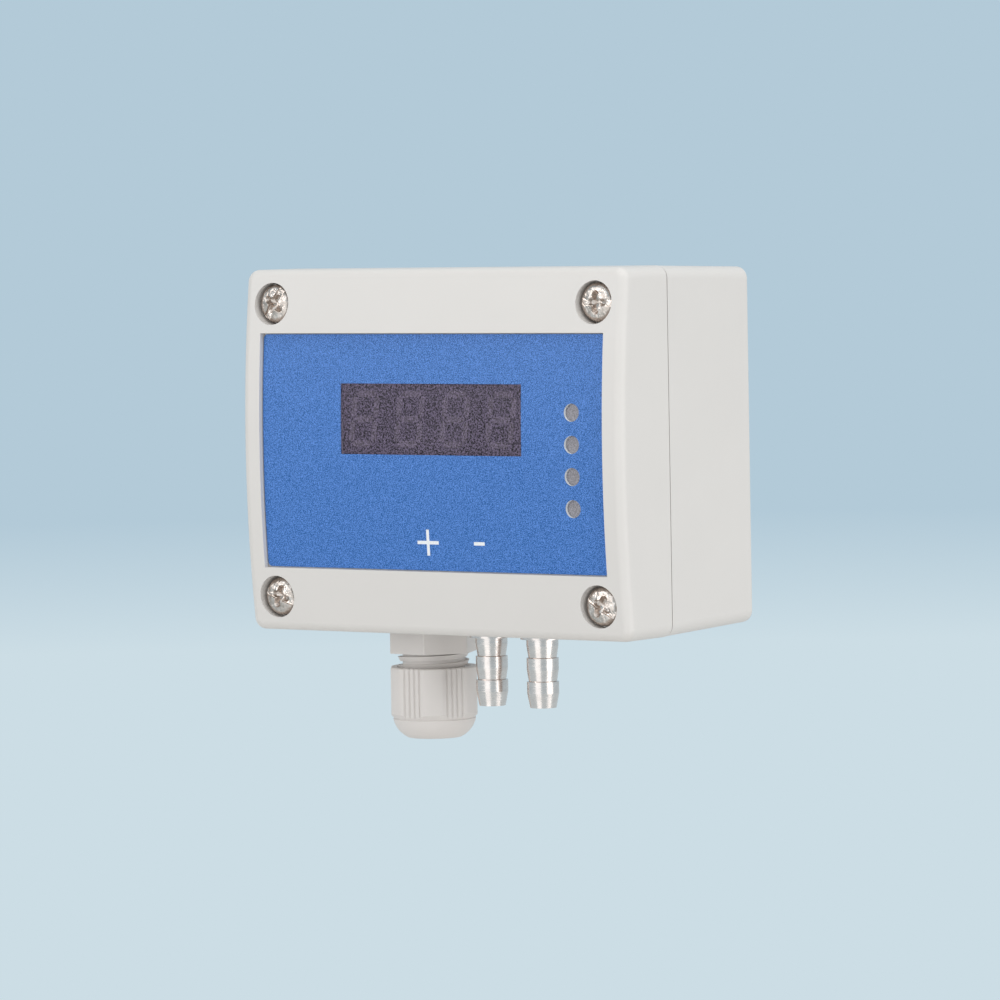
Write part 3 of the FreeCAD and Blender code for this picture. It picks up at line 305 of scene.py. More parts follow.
class Finish:
    """A procedural material on the piece's own coordinates."""

    def __init__(self, name, **sockets):
        self.material = bpy.data.materials.new(name)
        self.material.use_nodes = True
        self.tree = self.material.node_tree
        self.coordinates = add_node(self.tree, "ShaderNodeTexCoord").outputs["Object"]
        for socket, value in sockets.items():
            self.feed(socket.replace("_", " "), value)

    def feed(self, name, value):
        feed(self.tree, self.tree.nodes["Principled BSDF"].inputs[name], value)

    def noise(self, size, detail=2.0, stretch=(1, 1, 1)):
        """Noise whose spots are about as large as the size, drawn out where the stretch is small."""
        mapping = add_node(
            self.tree,
            "ShaderNodeMapping",
            Vector=self.coordinates,
            Rotation=NOISE_TURN,
            Scale=[share / size for share in stretch],
        )
        place = mapping.outputs["Vector"]
        noise = add_node(self.tree, "ShaderNodeTexNoise", Vector=place, Scale=1.0, Detail=detail)
        return noise.outputs["Fac"]

    def level(self, source, low, high, reach=0.2):
        """The noise's values within the reach of its middle, spread between two levels."""
        spread = add_node(
            self.tree,
            "ShaderNodeMapRange",
            Value=source,
            From_Min=0.5 - reach,
            From_Max=0.5 + reach,
            To_Min=low,
            To_Max=high,
        )
        return spread.outputs["Result"]

    def tint(self, source, dark, light, reach=0.2):
        """Base colour between two tones."""
        share = self.level(source, 0.0, 1.0, reach)
        self.feed("Base Color", mixed_colour(self.tree, share, dark, light))

    def rough(self, source, low, high):
        self.feed("Roughness", self.level(source, low, high))

    def relief(self, source, depth, strength):
        bump = add_node(self.tree, "ShaderNodeBump", Height=source, Strength=strength, Distance=depth)
        self.feed("Normal", bump.outputs["Normal"])


def moulded(name, tone, roughness=0.42, mottle=0.02, grain=0.3 * MM, depth=0.002 * MM, **sockets):
    """Injection-moulded plastic with faint flow mottling and a fine tool grain."""
    finish = Finish(name, **sockets)
    flow = finish.noise(14 * MM, detail=3.0)
    finish.tint(flow, lighter(tone, -mottle), lighter(tone, mottle))
    fine = finish.noise(grain, detail=2.0)
    finish.rough(fine, low=roughness - 0.04, high=roughness + 0.05)
    finish.relief(fine, depth, strength=0.5)
    return finish.material


def matt_film(name, tone, grain, contrast, roughness=0.45, painted_glint=0.0, **sockets):
    """Film with a velvet texture of darker and lighter grains, the lighter ones moved towards white as a
    painted glint.
    """
    finish = Finish(name, Specular_IOR_Level=0.2, **sockets)
    velvet = finish.noise(grain, detail=1.0)
    dark = scaled(tone, 1 - contrast)
    # Painted glint: the lighter grains are moved towards white to stand for light catching them one by one
    light = lighter(scaled(tone, 1 + contrast)[:3], painted_glint)
    finish.tint(velvet, dark, light, reach=0.08)
    finish.rough(velvet, low=roughness - 0.06, high=roughness + 0.06)
    finish.relief(velvet, depth=0.012 * MM, strength=0.5)
    return finish.material


def worked_metal(name, tone, roughness, lines, stretch, depth, stains=0.1):
    """Bare or plated metal with fine tool lines."""
    finish = Finish(name, Metallic=1.0)
    cut = finish.noise(lines, detail=2.0, stretch=stretch)
    stain = finish.noise(1.2 * MM, detail=4.0)
    finish.tint(stain, lighter(tone, -stains), lighter(tone, stains / 2))
    finish.rough(cut, low=roughness - 0.06, high=roughness + 0.08)
    finish.relief(cut, depth, strength=0.6)
    return finish.material


def soft_rubber(name, tone):
    finish = Finish(name)
    bloom = finish.noise(2.2 * MM, detail=4.0)
    finish.tint(bloom, lighter(tone, -0.25), lighter(tone, 0.05))
    finish.rough(bloom, low=0.62, high=0.8)
    finish.relief(finish.noise(0.15 * MM), depth=0.004 * MM, strength=0.5)
    return finish.material


def board_laminate(name, tone):
    """Solder mask over woven glass, with the weave just showing."""
    finish = Finish(name, Coat_Weight=0.35, Coat_Roughness=0.2)
    weave = finish.noise(0.5 * MM, detail=1.0, stretch=(1, 1, 0.2))
    patches = finish.noise(5 * MM, detail=4.0)
    finish.tint(patches, lighter(tone, -0.22), lighter(tone, 0.05))
    finish.rough(weave, low=0.34, high=0.46)
    finish.relief(weave, depth=0.01 * MM, strength=0.5)
    return finish.material


def slot_finishes(shell, display):
    """The finish of each of the record's material slots that a solid keeps."""
    around_z = (0.02, 0.02, 1)
    along_y = (1, 0.05, 1)
    black = (0.012, 0.012, 0.013)
    ivory = (0.75, 0.75, 0.72)
    charcoal = (0.016, 0.016, 0.017)
    red = (0.3, 0.03, 0.03)
    ink = (0.018, 0.022, 0.04)
    return {
        "housing_plastic": moulded("Housing plastic", shell.shell, roughness=0.43, mottle=0.012),
        "gland_plastic": moulded(
            "Gland polyamide", shell.gland, roughness=0.5, mottle=0.03, grain=0.22 * MM, depth=0.004 * MM
        ),
        "nozzle_aluminium": worked_metal(
            "Turned aluminium",
            shell.nozzle,
            roughness=0.23,
            lines=0.16 * MM,
            stretch=around_z,
            depth=0.0003 * MM,
        ),
        "screw_steel": worked_metal(
            "Plated steel",
            shell.screw,
            roughness=0.29,
            lines=0.8 * MM,
            stretch=along_y,
            depth=0.36 * MM,
            stains=0.35,
        ),
        "nut_brass": worked_metal(
            "Turned brass",
            shell.brass,
            roughness=0.26,
            lines=0.1 * MM,
            stretch=along_y,
            depth=0.0015 * MM,
        ),
        "seal_rubber": soft_rubber("Seal rubber", shell.rubber),
        "display_plastic": moulded(
            "Display housing",
            display.face_colour,
            roughness=0.5,
            mottle=0.06,
            grain=0.2 * MM,
            depth=0.003 * MM,
        ),
        "led_plastic": moulded("Indicator resin", shell.led, roughness=0.3, mottle=0.05, grain=0.4 * MM),
        "board_laminate": board_laminate("Circuit board", shell.laminate),
        "connector_plastic": moulded("Connector plastic", black, roughness=0.46),
        "ribbon_insulation": moulded("Ribbon insulation", shell.ribbon, roughness=0.5, mottle=0.05),
        "terminal_plastic": moulded("Terminal plastic", shell.terminal, roughness=0.48, mottle=0.04),
        "sensor_plastic": moulded("Sensor plastic", ivory, roughness=0.4),
        "hose_silicone": moulded(
            "Hose silicone", shell.hose, roughness=0.36, mottle=0.03, Transmission_Weight=0.35
        ),
        "chip_plastic": moulded(
            "Chip plastic", charcoal, roughness=0.58, grain=0.12 * MM, depth=0.004 * MM
        ),
        "button_plastic": moulded("Button plastic", red, roughness=0.4, mottle=0.04),
        "capacitor_sleeve": moulded("Capacitor sleeve", ink, roughness=0.3, mottle=0.04),
    }


def slot_finish(slot):
    return next(node.material_slots[0].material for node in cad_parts.values() if node["slot"] == slot)


def add_piece(name, mesh, *materials):
    piece = bpy.data.objects.new(name, mesh)
    bpy.context.scene.collection.objects.link(piece)
    for material in materials:
        mesh.materials.append(material)
    return piece


def settle(piece):
    """Makes a piece and its modifiers one plain mesh."""
    graph = bpy.context.evaluated_depsgraph_get()
    mesh = bpy.data.meshes.new_from_object(
        piece.evaluated_get(graph), preserve_all_data_layers=True, depsgraph=graph
    )
    piece.modifiers.clear()
    piece.data = mesh


def install(piece, body, slot, *nodes):
    """The finished piece moves with its body and stands for the nodes, which it hides. The slot is not
    used.
    """
    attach(piece, body)
    if nodes:
        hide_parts(*nodes)


def close_up(mesh, sharp_degrees=30):
    """Merges doubles, points the faces outwards and shades them smooth up to an angle."""
    shape = bmesh.new()
    shape.from_mesh(mesh)
    bmesh.ops.remove_doubles(shape, verts=shape.verts, dist=0.00002 * MM)
    bmesh.ops.recalc_face_normals(shape, faces=shape.faces)
    shape.to_mesh(mesh)
    shape.free()
    mesh.shade_smooth()
    mesh.set_sharp_from_angle(angle=math.radians(sharp_degrees))
    return mesh


def mesh_of(name, points, faces):
    mesh = bpy.data.meshes.new(name)
    mesh.from_pydata(points, [], faces)
    return mesh


def mesh_from(name, shape):
    """A mesh of the shape, which is freed."""
    mesh = bpy.data.meshes.new(name)
    shape.to_mesh(mesh)
    shape.free()
    return mesh


def band(here, there, count):
    """Faces between two rings, each given by the number of its first point."""
    steps = [(step, (step + 1) % count) for step in range(count)]
    return [(here + step, here + after, there + after, there + step) for step, after in steps]


def joined_rings(name, rings):
    """A closed skin through rings of equal count, the last ring joined to the first."""
    count = len(rings[0])
    starts = [ring * count for ring in range(len(rings))]
    faces = []
    for here, there in zip(starts, starts[1:] + starts[:1]):
        faces += band(here, there, count)
    return mesh_of(name, [point for ring in rings for point in ring], faces)


def turned_solid(name, outline, segments):
    """A closed solid turned about Z from an outline that starts and ends on the axis."""
    points = [Vector((0, 0, outline[0][1])), Vector((0, 0, outline[-1][1]))]
    faces = []
    rings = outline[1:-1]
    for radius, height in rings:
        for step in range(segments):
            angle = 2 * math.pi * step / segments
            points.append(Vector((radius * math.cos(angle), radius * math.sin(angle), height)))
    for step in range(segments):
        after = (step + 1) % segments
        faces.append((0, 2 + step, 2 + after))
        for ring in range(len(rings) - 1):
            here = 2 + ring * segments
            there = here + segments
            faces.append((here + step, there + step, there + after, here + after))
        last = 2 + (len(rings) - 1) * segments
        faces.append((1, last + after, last + step))
    return mesh_of(name, points, faces)


def arc(centre, radius, start, end, steps):
    """Points on an arc between two angles in degrees, both ends included."""
    points = []
    for step in range(steps + 1):
        angle = math.radians(start + (end - start) * step / steps)
        points.append((centre[0] + radius * math.cos(angle), centre[1] + radius * math.sin(angle)))
    return points


def circle(centre, radius, count=48):
    return arc(centre, radius, 0, 360 - 360 / count, count - 1)


def rounded_rectangle(x, z, width, height, radius, steps=6):
    points = []
    for corner, (across, up) in enumerate([(1, 1), (-1, 1), (-1, -1), (1, -1)]):
        centre = (x + across * (width / 2 - radius), z + up * (height / 2 - radius))
        points += arc(centre, radius, 90 * corner, 90 * corner + 90, steps)
    return points


class Tree:
    """A geometry node tree with named inputs that ends in Realize Instances and Set Material."""

    def __init__(self, name, **inputs):
        self.group = bpy.data.node_groups.new(name, "GeometryNodeTree")
        self.group.is_modifier = True
        self.keys = {}
        new_socket = self.group.interface.new_socket
        new_socket(name="Geometry", in_out="INPUT", socket_type="NodeSocketGeometry")
        new_socket(name="Geometry", in_out="OUTPUT", socket_type="NodeSocketGeometry")
        for key, kind in {**inputs, "Material": "Material"}.items():
            socket = new_socket(name=key, in_out="INPUT", socket_type=f"NodeSocket{kind}")
            self.keys[key] = socket.identifier
        self.inputs = self.add("NodeGroupInput").outputs

    def add(self, kind, settings=None, **named):
        return add_node(self.group, kind, settings, **named)

    def finish(self, geometry):
        real = self.add("GeometryNodeRealizeInstances", Geometry=geometry)
        material = self.inputs["Material"]
        painted = self.add("GeometryNodeSetMaterial", Geometry=real.outputs[0], Material=material)
        self.add("NodeGroupOutput", Geometry=painted.outputs[0])

    def run(self, piece, **values):
        """Sets the inputs on a modifier of the piece and makes its result a plain mesh."""
        modifier = piece.modifiers.new(self.group.name, "NODES")
        modifier.node_group = self.group
        for key, value in values.items():
            modifier[self.keys[key]] = value
        settle(piece)


class CONTROLLER_OT_finishes(Operator):
    """Give every solid the finish of its material slot"""
    bl_idname = "controller.finishes"
    bl_label = "Finishes"

    def execute(self, context):
        settings = context.scene.controller
        finishes = slot_finishes(settings.shell, settings.display)
        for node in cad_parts.values():
            slot = node.material_slots[0].material.name.split(".")[0]
            node["slot"] = slot
            if slot in finishes:
                node.material_slots[0].material = finishes[slot]
        return {"FINISHED"}


class CONTROLLER_OT_label(Operator):
    """Lay the printed film with its clear window, clear dots and port marks on the crowned cover"""
    bl_idname = "controller.label"
    bl_label = "Film label"

    def execute(self, context):
        label = context.scene.controller.label
        points, triangles, regions = self.flat_regions(label)
        places = {}

        def corner(index, below):
            return places.setdefault((index, below), len(places))

        faces = []
        painted = []
        beside = {}
        for triangle, region in zip(triangles, regions):
            paint, front, back = region
            faces.append([corner(index, front) for index in triangle])
            faces.append([corner(index, back) for index in reversed(triangle)])
            painted += [paint, paint]
            for first, second in zip(triangle, triangle[1:] + triangle[:1]):
                beside[first, second] = region
        for (first, second), (_, front, back) in beside.items():
            other = beside.get((second, first))
            steps = [(front, other[1]), (back, other[2])] if other else [(front, back)]
            for high, low in steps:
                if high < low:
                    wall = [(first, high), (second, high), (second, low), (first, low)]
                    faces.append([corner(index, depth) for index, depth in wall])
                    painted.append(WHITE if other else PRINT)

        def on_crown(point, below):
            sag = label.crown_radius - math.sqrt(label.crown_radius**2 - point[1] ** 2)
            return (point[0], sag + below - label.front, point[1])

        mesh = mesh_of("label_film", [on_crown(points[index], below) for index, below in places], faces)
        mesh.polygons.foreach_set("material_index", painted)
        piece = add_piece("label_film", close_up(mesh), *self.paints(label))
        install(piece, "housing", "label_film", "front_label")
        return {"FINISHED"}

    def paints(self, label):
        """The film's materials, in the order of their places in its list."""
        return [
            # The blue print carries a painted glint on its lighter grains
            matt_film("Blue print", label.print_colour, 0.14 * MM, contrast=0.4, roughness=0.36, painted_glint=0.1),
            matt_film("Matt window", label.window_colour, 0.29 * MM, contrast=1.0, Alpha=0.37),
            matt_film("Matt dot", label.dot_colour, 0.2 * MM, contrast=0.25, Alpha=0.5),
            matt_film("White mark", label.mark_colour, 0.2 * MM, contrast=0.04, roughness=0.5),
        ]

    def flat_regions(self, label):
        """Triangles of the flat film, each with its paint and the depths of its front and back."""
        half = label.stroke / 2
        plus_x = (PLUS_LOW.x + PLUS_HIGH.x) / 2
        minus_x = (MINUS_LOW.x + MINUS_HIGH.x) / 2
        arm = label.plus_span / 2
        plus = [(half, half), (half, arm), (-half, arm), (-half, half), (-arm, half), (-arm, -half)]
        plus += [(-x, -z) for x, z in plus]
        marks = [[(plus_x + x, label.marks_z + z) for x, z in plus]]
        reach = label.minus_span / 2
        minus = [(reach, half), (-reach, half), (-reach, -half), (reach, -half)]
        marks.append([(minus_x + x, label.marks_z + z) for x, z in minus])
        window = rounded_rectangle(
            0, label.window_z, label.window_width, label.window_height, label.window_corner, steps=2
        )
        dot_x = (LEDS_LOW.x + LEDS_HIGH.x) / 2
        lowest = LEDS_LOW.z + LED_FLANGE / 2
        middles = [(dot_x, lowest + row * LED_PITCH) for row in range(LED_COUNT)]
        edge = rounded_rectangle(0, 0, label.width, label.height, label.corner_radius)
        low = label.dot_sink + label.dot_skin
        loops = [(edge, (PRINT, 0, label.thickness)), (window, (WINDOW, 0, label.thickness))]
        loops += [(mark, (WHITE, 0, label.thickness)) for mark in marks]
        loops += [(circle(middle, label.dot_rim), (PRINT, 0, low)) for middle in middles]
        loops += [(circle(middle, label.dot_radius), (DOT, label.dot_sink, low)) for middle in middles]
        points = []
        faces = []
        for loop, _ in loops:
            faces.append(list(range(len(points), len(points) + len(loop))))
            points += [Vector(point) / MM for point in loop]
        # Level lines across the film let it bend with the crown
        lines = []
        rows = 28
        for row in range(1, rows):
            height = label.height * (row / rows - 0.5)
            if abs(height) < label.height / 2 - label.corner_radius:
                lines.append((len(points), len(points) + 1))
                points += [Vector((side * label.width / 2, height)) / MM for side in (-1, 1)]
        inside_only = 1
        nearness = 1e-5
        flat, _, triangles, _, _, owners = delaunay_2d_cdt(points, lines, faces, inside_only, nearness)
        inside = [index for index, owner in enumerate(owners) if owner]
        return (
            [point * MM for point in flat],
            [list(triangles[index]) for index in inside],
            [loops[max(owners[index])][1] for index in inside],
        )


class CONTROLLER_OT_display(Operator):
    """Make the display module with its slanted seven-segment digits"""
    bl_idname = "controller.display"
    bl_label = "Display"

    def execute(self, context):
        display = context.scene.controller.display
        self.body(display)
        self.digit_row(display)
        return {"FINISHED"}

    def body(self, display):
        block = bmesh.new()
        size = DISPLAY_HIGH - DISPLAY_LOW
        place = Matrix.Translation((DISPLAY_LOW + DISPLAY_HIGH) / 2) @ Matrix.Diagonal((*size, 1))
        bmesh.ops.create_cube(block, size=1, matrix=place)
        edges = block.edges[:]
        bmesh.ops.bevel(block, geom=edges, offset=display.edge, segments=3, profile=0.5, affect="EDGES")
        mesh = close_up(mesh_from("display_body", block), sharp_degrees=25)
        piece = add_piece("display_body", mesh, slot_finish("display_plastic"))
        install(piece, "housing", "display_plastic", "display_module")

    def digit_row(self, display):
        diffuser = moulded(
            "Segment diffuser", display.segment_colour, roughness=0.5, mottle=0.05, grain=0.2 * MM
        )
        template = add_piece("digit", self.digit(display))
        tree = Tree("Digit row", Digit="Object", Count="Int", Pitch="Float", Start="Vector")
        offset = tree.add("ShaderNodeCombineXYZ", X=tree.inputs["Pitch"])
        row = tree.add(
            "GeometryNodeMeshLine",
            Count=tree.inputs["Count"],
            Start_Location=tree.inputs["Start"],
            Offset=offset.outputs[0],
        )
        digit = tree.add("GeometryNodeObjectInfo", Object=tree.inputs["Digit"])
        copies = tree.add(
            "GeometryNodeInstanceOnPoints", Points=row.outputs[0], Instance=digit.outputs["Geometry"]
        )
        tree.finish(copies.outputs[0])
        piece = add_piece("display_segments", bpy.data.meshes.new("display_segments"))
        middle = (DISPLAY_LOW + DISPLAY_HIGH) / 2
        start = (middle.x - display.pitch * (display.digits - 1) / 2, DISPLAY_LOW.y, middle.z)
        tree.run(
            piece,
            Digit=template,
            Count=display.digits,
            Pitch=display.pitch,
            Start=start,
            Material=diffuser,
        )
        bpy.data.objects.remove(template)
        install(piece, "housing", "display_plastic")

    def digit(self, display):
        """Seven diffusers, sunk into the face at Y = 0 and standing a little out of it."""
        half = display.segment / 2
        across = display.digit_width / 2 - half
        up = (display.digit_height - display.segment) / 2
        bars = [((-across, height), (across, height)) for height in (-up, 0, up)]
        bars += [((side, low), (side, low + up)) for side in (-across, across) for low in (-up, 0)]
        lean = math.tan(display.slant)
        outlines = []
        for start, end in bars:
            start, end = Vector(start), Vector(end)
            along = (end - start).normalized()
            side = along.orthogonal()
            start += along * display.gap
            end -= along * display.gap
            outlines.append([
                start,
                start + (along - side) * half,
                end - (along + side) * half,
                end,
                end - (along - side) * half,
                start + (along + side) * half,
            ])
        shape = bmesh.new()
        for outline in outlines:
            loops = []
            for depth in (-display.raise_by, display.edge):
                places = [(corner.x + corner.y * lean, depth, corner.y) for corner in outline]
                loops.append([shape.verts.new(place) for place in places])
            front, back = loops
            shape.faces.new(front)
            shape.faces.new(back[::-1])
            for here in range(len(outline)):
                after = (here + 1) % len(outline)
                shape.faces.new((front[here], back[here], back[after], front[after]))
        bmesh.ops.recalc_face_normals(shape, faces=shape.faces)
        return mesh_from("digit", shape)


class CONTROLLER_OT_screws(Operator):
    """Set the four pan-head cover screws, each at its own turn"""
    bl_idname = "controller.screws"
    bl_label = "Cover screws"

    def execute(self, context):
        screws = context.scene.controller.screws
        steel = slot_finish("screw_steel")
        template = self.screw(screws)
        x = SCREWS_HIGH.x - screws.head_radius
        z = SCREWS_HIGH.z - screws.head_radius
        seat = SCREWS_LOW.y + screws.head_height
        spots = [(-x, seat, z), (x, seat, z), (-x, seat, -z), (x, seat, -z)]
        turns = [screws.turn_top_left, screws.turn_top_right, screws.turn_low_left, screws.turn_low_right]
        mesh = mesh_of("cover_screw_set", spots, [])
        angles = mesh.attributes.new("turn", "FLOAT", "POINT")
        angles.data.foreach_set("value", [-angle for angle in turns])

        tree = Tree("Screw set", Screw="Object")
        angle = tree.add("GeometryNodeInputNamedAttribute", {"data_type": "FLOAT"}, Name="turn")
        about = tree.add("ShaderNodeCombineXYZ", X=math.pi / 2, Y=angle.outputs[0])
        rotation = tree.add("FunctionNodeEulerToRotation", Euler=about.outputs[0])
        screw = tree.add("GeometryNodeObjectInfo", Object=tree.inputs["Screw"])
        copies = tree.add(
            "GeometryNodeInstanceOnPoints",
            Points=tree.inputs["Geometry"],
            Instance=screw.outputs["Geometry"],
            Rotation=rotation.outputs[0],
        )
        tree.finish(copies.outputs[0])
        piece = add_piece("cover_screw_set", mesh)
        tree.run(piece, Screw=template, Material=steel)
        bpy.data.objects.remove(template)
        install(piece, "housing", "screw_steel", "cover_screws")
        return {"FINISHED"}

    def screw(self, screws):
        """One screw on Z with its seat at zero and its slot along X."""
        turned = turned_solid("screw", self.outline(screws), segments=96)
        piece = add_piece("screw", close_up(turned, sharp_degrees=25))
        cutters = [self.slot_cutter(screws), self.cross_cutter(screws)]
        for cutter in cutters:
            cut = piece.modifiers.new("cut", "BOOLEAN")
            cut.operation = "DIFFERENCE"
            cut.solver = "EXACT"
            cut.object = cutter
        edges = piece.modifiers.new("edges", "BEVEL")
        edges.width = screws.edge_break
        edges.segments = 2
        edges.limit_method = "ANGLE"
        edges.angle_limit = screws.break_from
        settle(piece)
        for cutter in cutters:
            bpy.data.objects.remove(cutter)
        close_up(piece.data)
        return piece

    def outline(self, screws):
        """Half of the screw's section, from the middle of its face to the middle of its end."""
        radius = screws.head_radius
        inner = radius - screws.edge_radius
        shoulder = screws.head_height - screws.crown
        steps = 8
        outline = [(0, screws.head_height)]
        for step in range(1, steps + 1):
            share = step / steps
            outline.append((inner * share, screws.head_height - screws.crown * share**2))
        # The rounding starts a little off the upright, so that it meets the slope of the crown
        crown_end = 78
        outline += arc((inner, shoulder - screws.edge_radius), screws.edge_radius, crown_end, 0, steps)
        seat_break = 0.12 * MM
        outline += [(radius, seat_break), (radius - seat_break, 0)]
        shank = screws.shank_radius
        end = -screws.shank_length
        end_break = 0.5 * MM
        outline += [(shank, 0), (shank, end + end_break), (shank - end_break, end), (0, end)]
        return outline

    def slot_cutter(self, screws):
        half = screws.slot_width / 2
        past_rim = screws.head_radius * 1.2
        outline = [(-past_rim, -half), (past_rim, -half), (past_rim, half), (-past_rim, half)]
        face = screws.head_height
        above = face + 1 * MM
        return self.prism(outline, [above, face - screws.slot_depth], [1.0, 1.0])

    def cross_cutter(self, screws):
        """Four wings with round tips, tapering to a point at the bottom."""
        wing = screws.cross_width / 2
        tip = screws.cross_span / 2 - wing
        notch = wing * 1.25
        swing = 75
        outline = []
        for quarter in range(4):
            turned = Matrix.Rotation(quarter * math.pi / 2, 2)
            arm = arc((tip, 0), wing, -swing, swing, steps=6) + [(notch, wing), (wing, notch)]
            outline += [tuple(turned @ Vector(point)) for point in arm]
        face = screws.head_height
        above = face + 1 * MM
        bottom = face - screws.cross_depth
        point = bottom - 0.35 * MM
        tapers = [1.12, 1.0, 0.68, 0.2]
        return self.prism(outline, [above, face, bottom, point], tapers)

    def prism(self, outline, heights, scales):
        """A closed cutter through scaled copies of one outline."""
        count = len(outline)
        points = []
        for height, scale in zip(heights, scales):
            points += [(x * scale, y * scale, height) for x, y in outline]
        faces = [tuple(range(count)), tuple(range(len(points) - count, len(points)))]
        for level in range(len(heights) - 1):
            faces += band(level * count, (level + 1) * count, count)
        return add_piece("cutter", close_up(mesh_of("cutter", points, faces)))


def blend_low(first, second, width):
    """The lower of two values, rounded where they meet."""
    share = max(0.0, min(1.0, 0.5 + (second - first) / (2 * width)))
    return second + (first - second) * share - width * share * (1 - share)


class CONTROLLER_OT_gland_nut(Operator):
    """Make the domed gland nut with its flats and grip grooves"""
    bl_idname = "controller.gland_nut"
    bl_label = "Gland nut"

    def execute(self, context):
        gland = context.scene.controller.gland
        axis = (NUT_LOW + NUT_HIGH) / 2
        spokes = self.spokes(gland)
        rings = []
        for height, profile in self.levels(gland):
            ring = []
            for bearing in spokes:
                radius = profile(bearing) if callable(profile) else profile
                angle = math.radians(bearing) + gland.nut_turn
                ring.append((axis.x + radius * math.cos(angle), axis.y + radius * math.sin(angle), height))
            rings.append(ring)
        mesh = close_up(joined_rings("gland_dome_nut", rings), sharp_degrees=32)
        piece = add_piece("gland_dome_nut", mesh, slot_finish("gland_plastic"))
        install(piece, "gland_nut", "gland_plastic", "gland_nut")
        return {"FINISHED"}

    def spokes(self, gland):
        """Bearings round the nut, close together where the grooves are."""
        edge = SIDE_TURN / 2 - math.degrees(math.acos(gland.flats / 2 / gland.corner))
        coarse = 6
        fine = 64
        sector = [edge * step / coarse for step in range(coarse)]
        sector += [edge + (SIDE_TURN - 2 * edge) * step / fine for step in range(fine)]
        sector += [SIDE_TURN - edge + edge * step / coarse for step in range(coarse)]
        return [SIDE_TURN * side + bearing for side in range(SIDES) for bearing in sector]

    def grip(self, bearing, gland):
        """Radius of the grip: rounded corners, and six grooved flats between them."""
        within = bearing % SIDE_TURN
        off_flat = math.radians(abs(within - SIDE_TURN / 2))
        radius = blend_low(gland.corner, gland.flats / 2 / math.cos(off_flat), gland.corner_blend)
        for groove in range(gland.grooves):
            middle = SIDE_TURN / 2 + math.degrees(gland.groove_turn) * (groove - (gland.grooves - 1) / 2)
            away = abs(math.radians(within - middle)) * gland.corner / (gland.groove_width / 2)
            if away < 1:
                radius -= gland.groove_depth * (0.5 + 0.5 * math.cos(math.pi * away))
        return radius

    def levels(self, gland):
        """Height and radius of each ring: down the outside, round the dome and up through the bore."""
        top, low = NUT_HIGH.z, NUT_LOW.z
        shoulder = low + gland.dome_height
        levels = []
        steps = 6
        for step in range(steps + 1):
            swing = math.pi / 2 * step / steps
            inset = gland.top_round * (1 - math.sin(swing))
            height = top - gland.top_round * (1 - math.cos(swing))
            levels.append((height, lambda bearing, inset=inset: self.grip(bearing, gland) - inset))
        upper = top - gland.top_round
        lower = shoulder + gland.chamfer_height
        for share in (0.25, 0.5, 0.75):
            height = upper + (lower - upper) * share
            levels.append((height, lambda bearing: self.grip(bearing, gland)))
        steps = 16
        for step in range(steps):
            share = 1 - step / steps
            height = shoulder + gland.chamfer_height * share
            cone = gland.corner - gland.chamfer_sink * (1 - share)
            levels.append((height, lambda bearing, cone=cone: min(self.grip(bearing, gland), cone)))
        levels += [(height, radius) for radius, height in self.dome(gland, shoulder, low)]
        opening = gland.opening
        broken = gland.opening_break
        end_ring = gland.dome_land - 0.1 * MM
        levels += [
            (low, end_ring),
            (low, opening + broken),
            (low + broken / 3, opening + broken / 3),
            (low + broken, opening),
            (low + gland.opening_length, opening),
            (low + gland.opening_length + gland.cone_length, gland.bore),
            (top - gland.bore_lead, gland.bore),
            (top, gland.bore + gland.bore_lead),
        ]
        return levels

    def dome(self, gland, shoulder, low):
        """Points down the dome's curve, from the shoulder to the end face."""
        foot = gland.corner - gland.chamfer_sink
        start = Vector((foot + gland.crease, shoulder - gland.crease_height))
        end = Vector((gland.dome_land, low))
        chord = end - start
        inward = Vector((chord.y, -chord.x)).normalized()
        centre = (start + end) / 2 + inward * math.sqrt(gland.dome_bulge**2 - (chord.length / 2) ** 2)
        first = math.degrees(math.atan2(start.y - centre.y, start.x - centre.x))
        last = math.degrees(math.atan2(end.y - centre.y, end.x - centre.x))
        return [(foot, shoulder)] + arc(centre, gland.dome_bulge, first, last, steps=18)


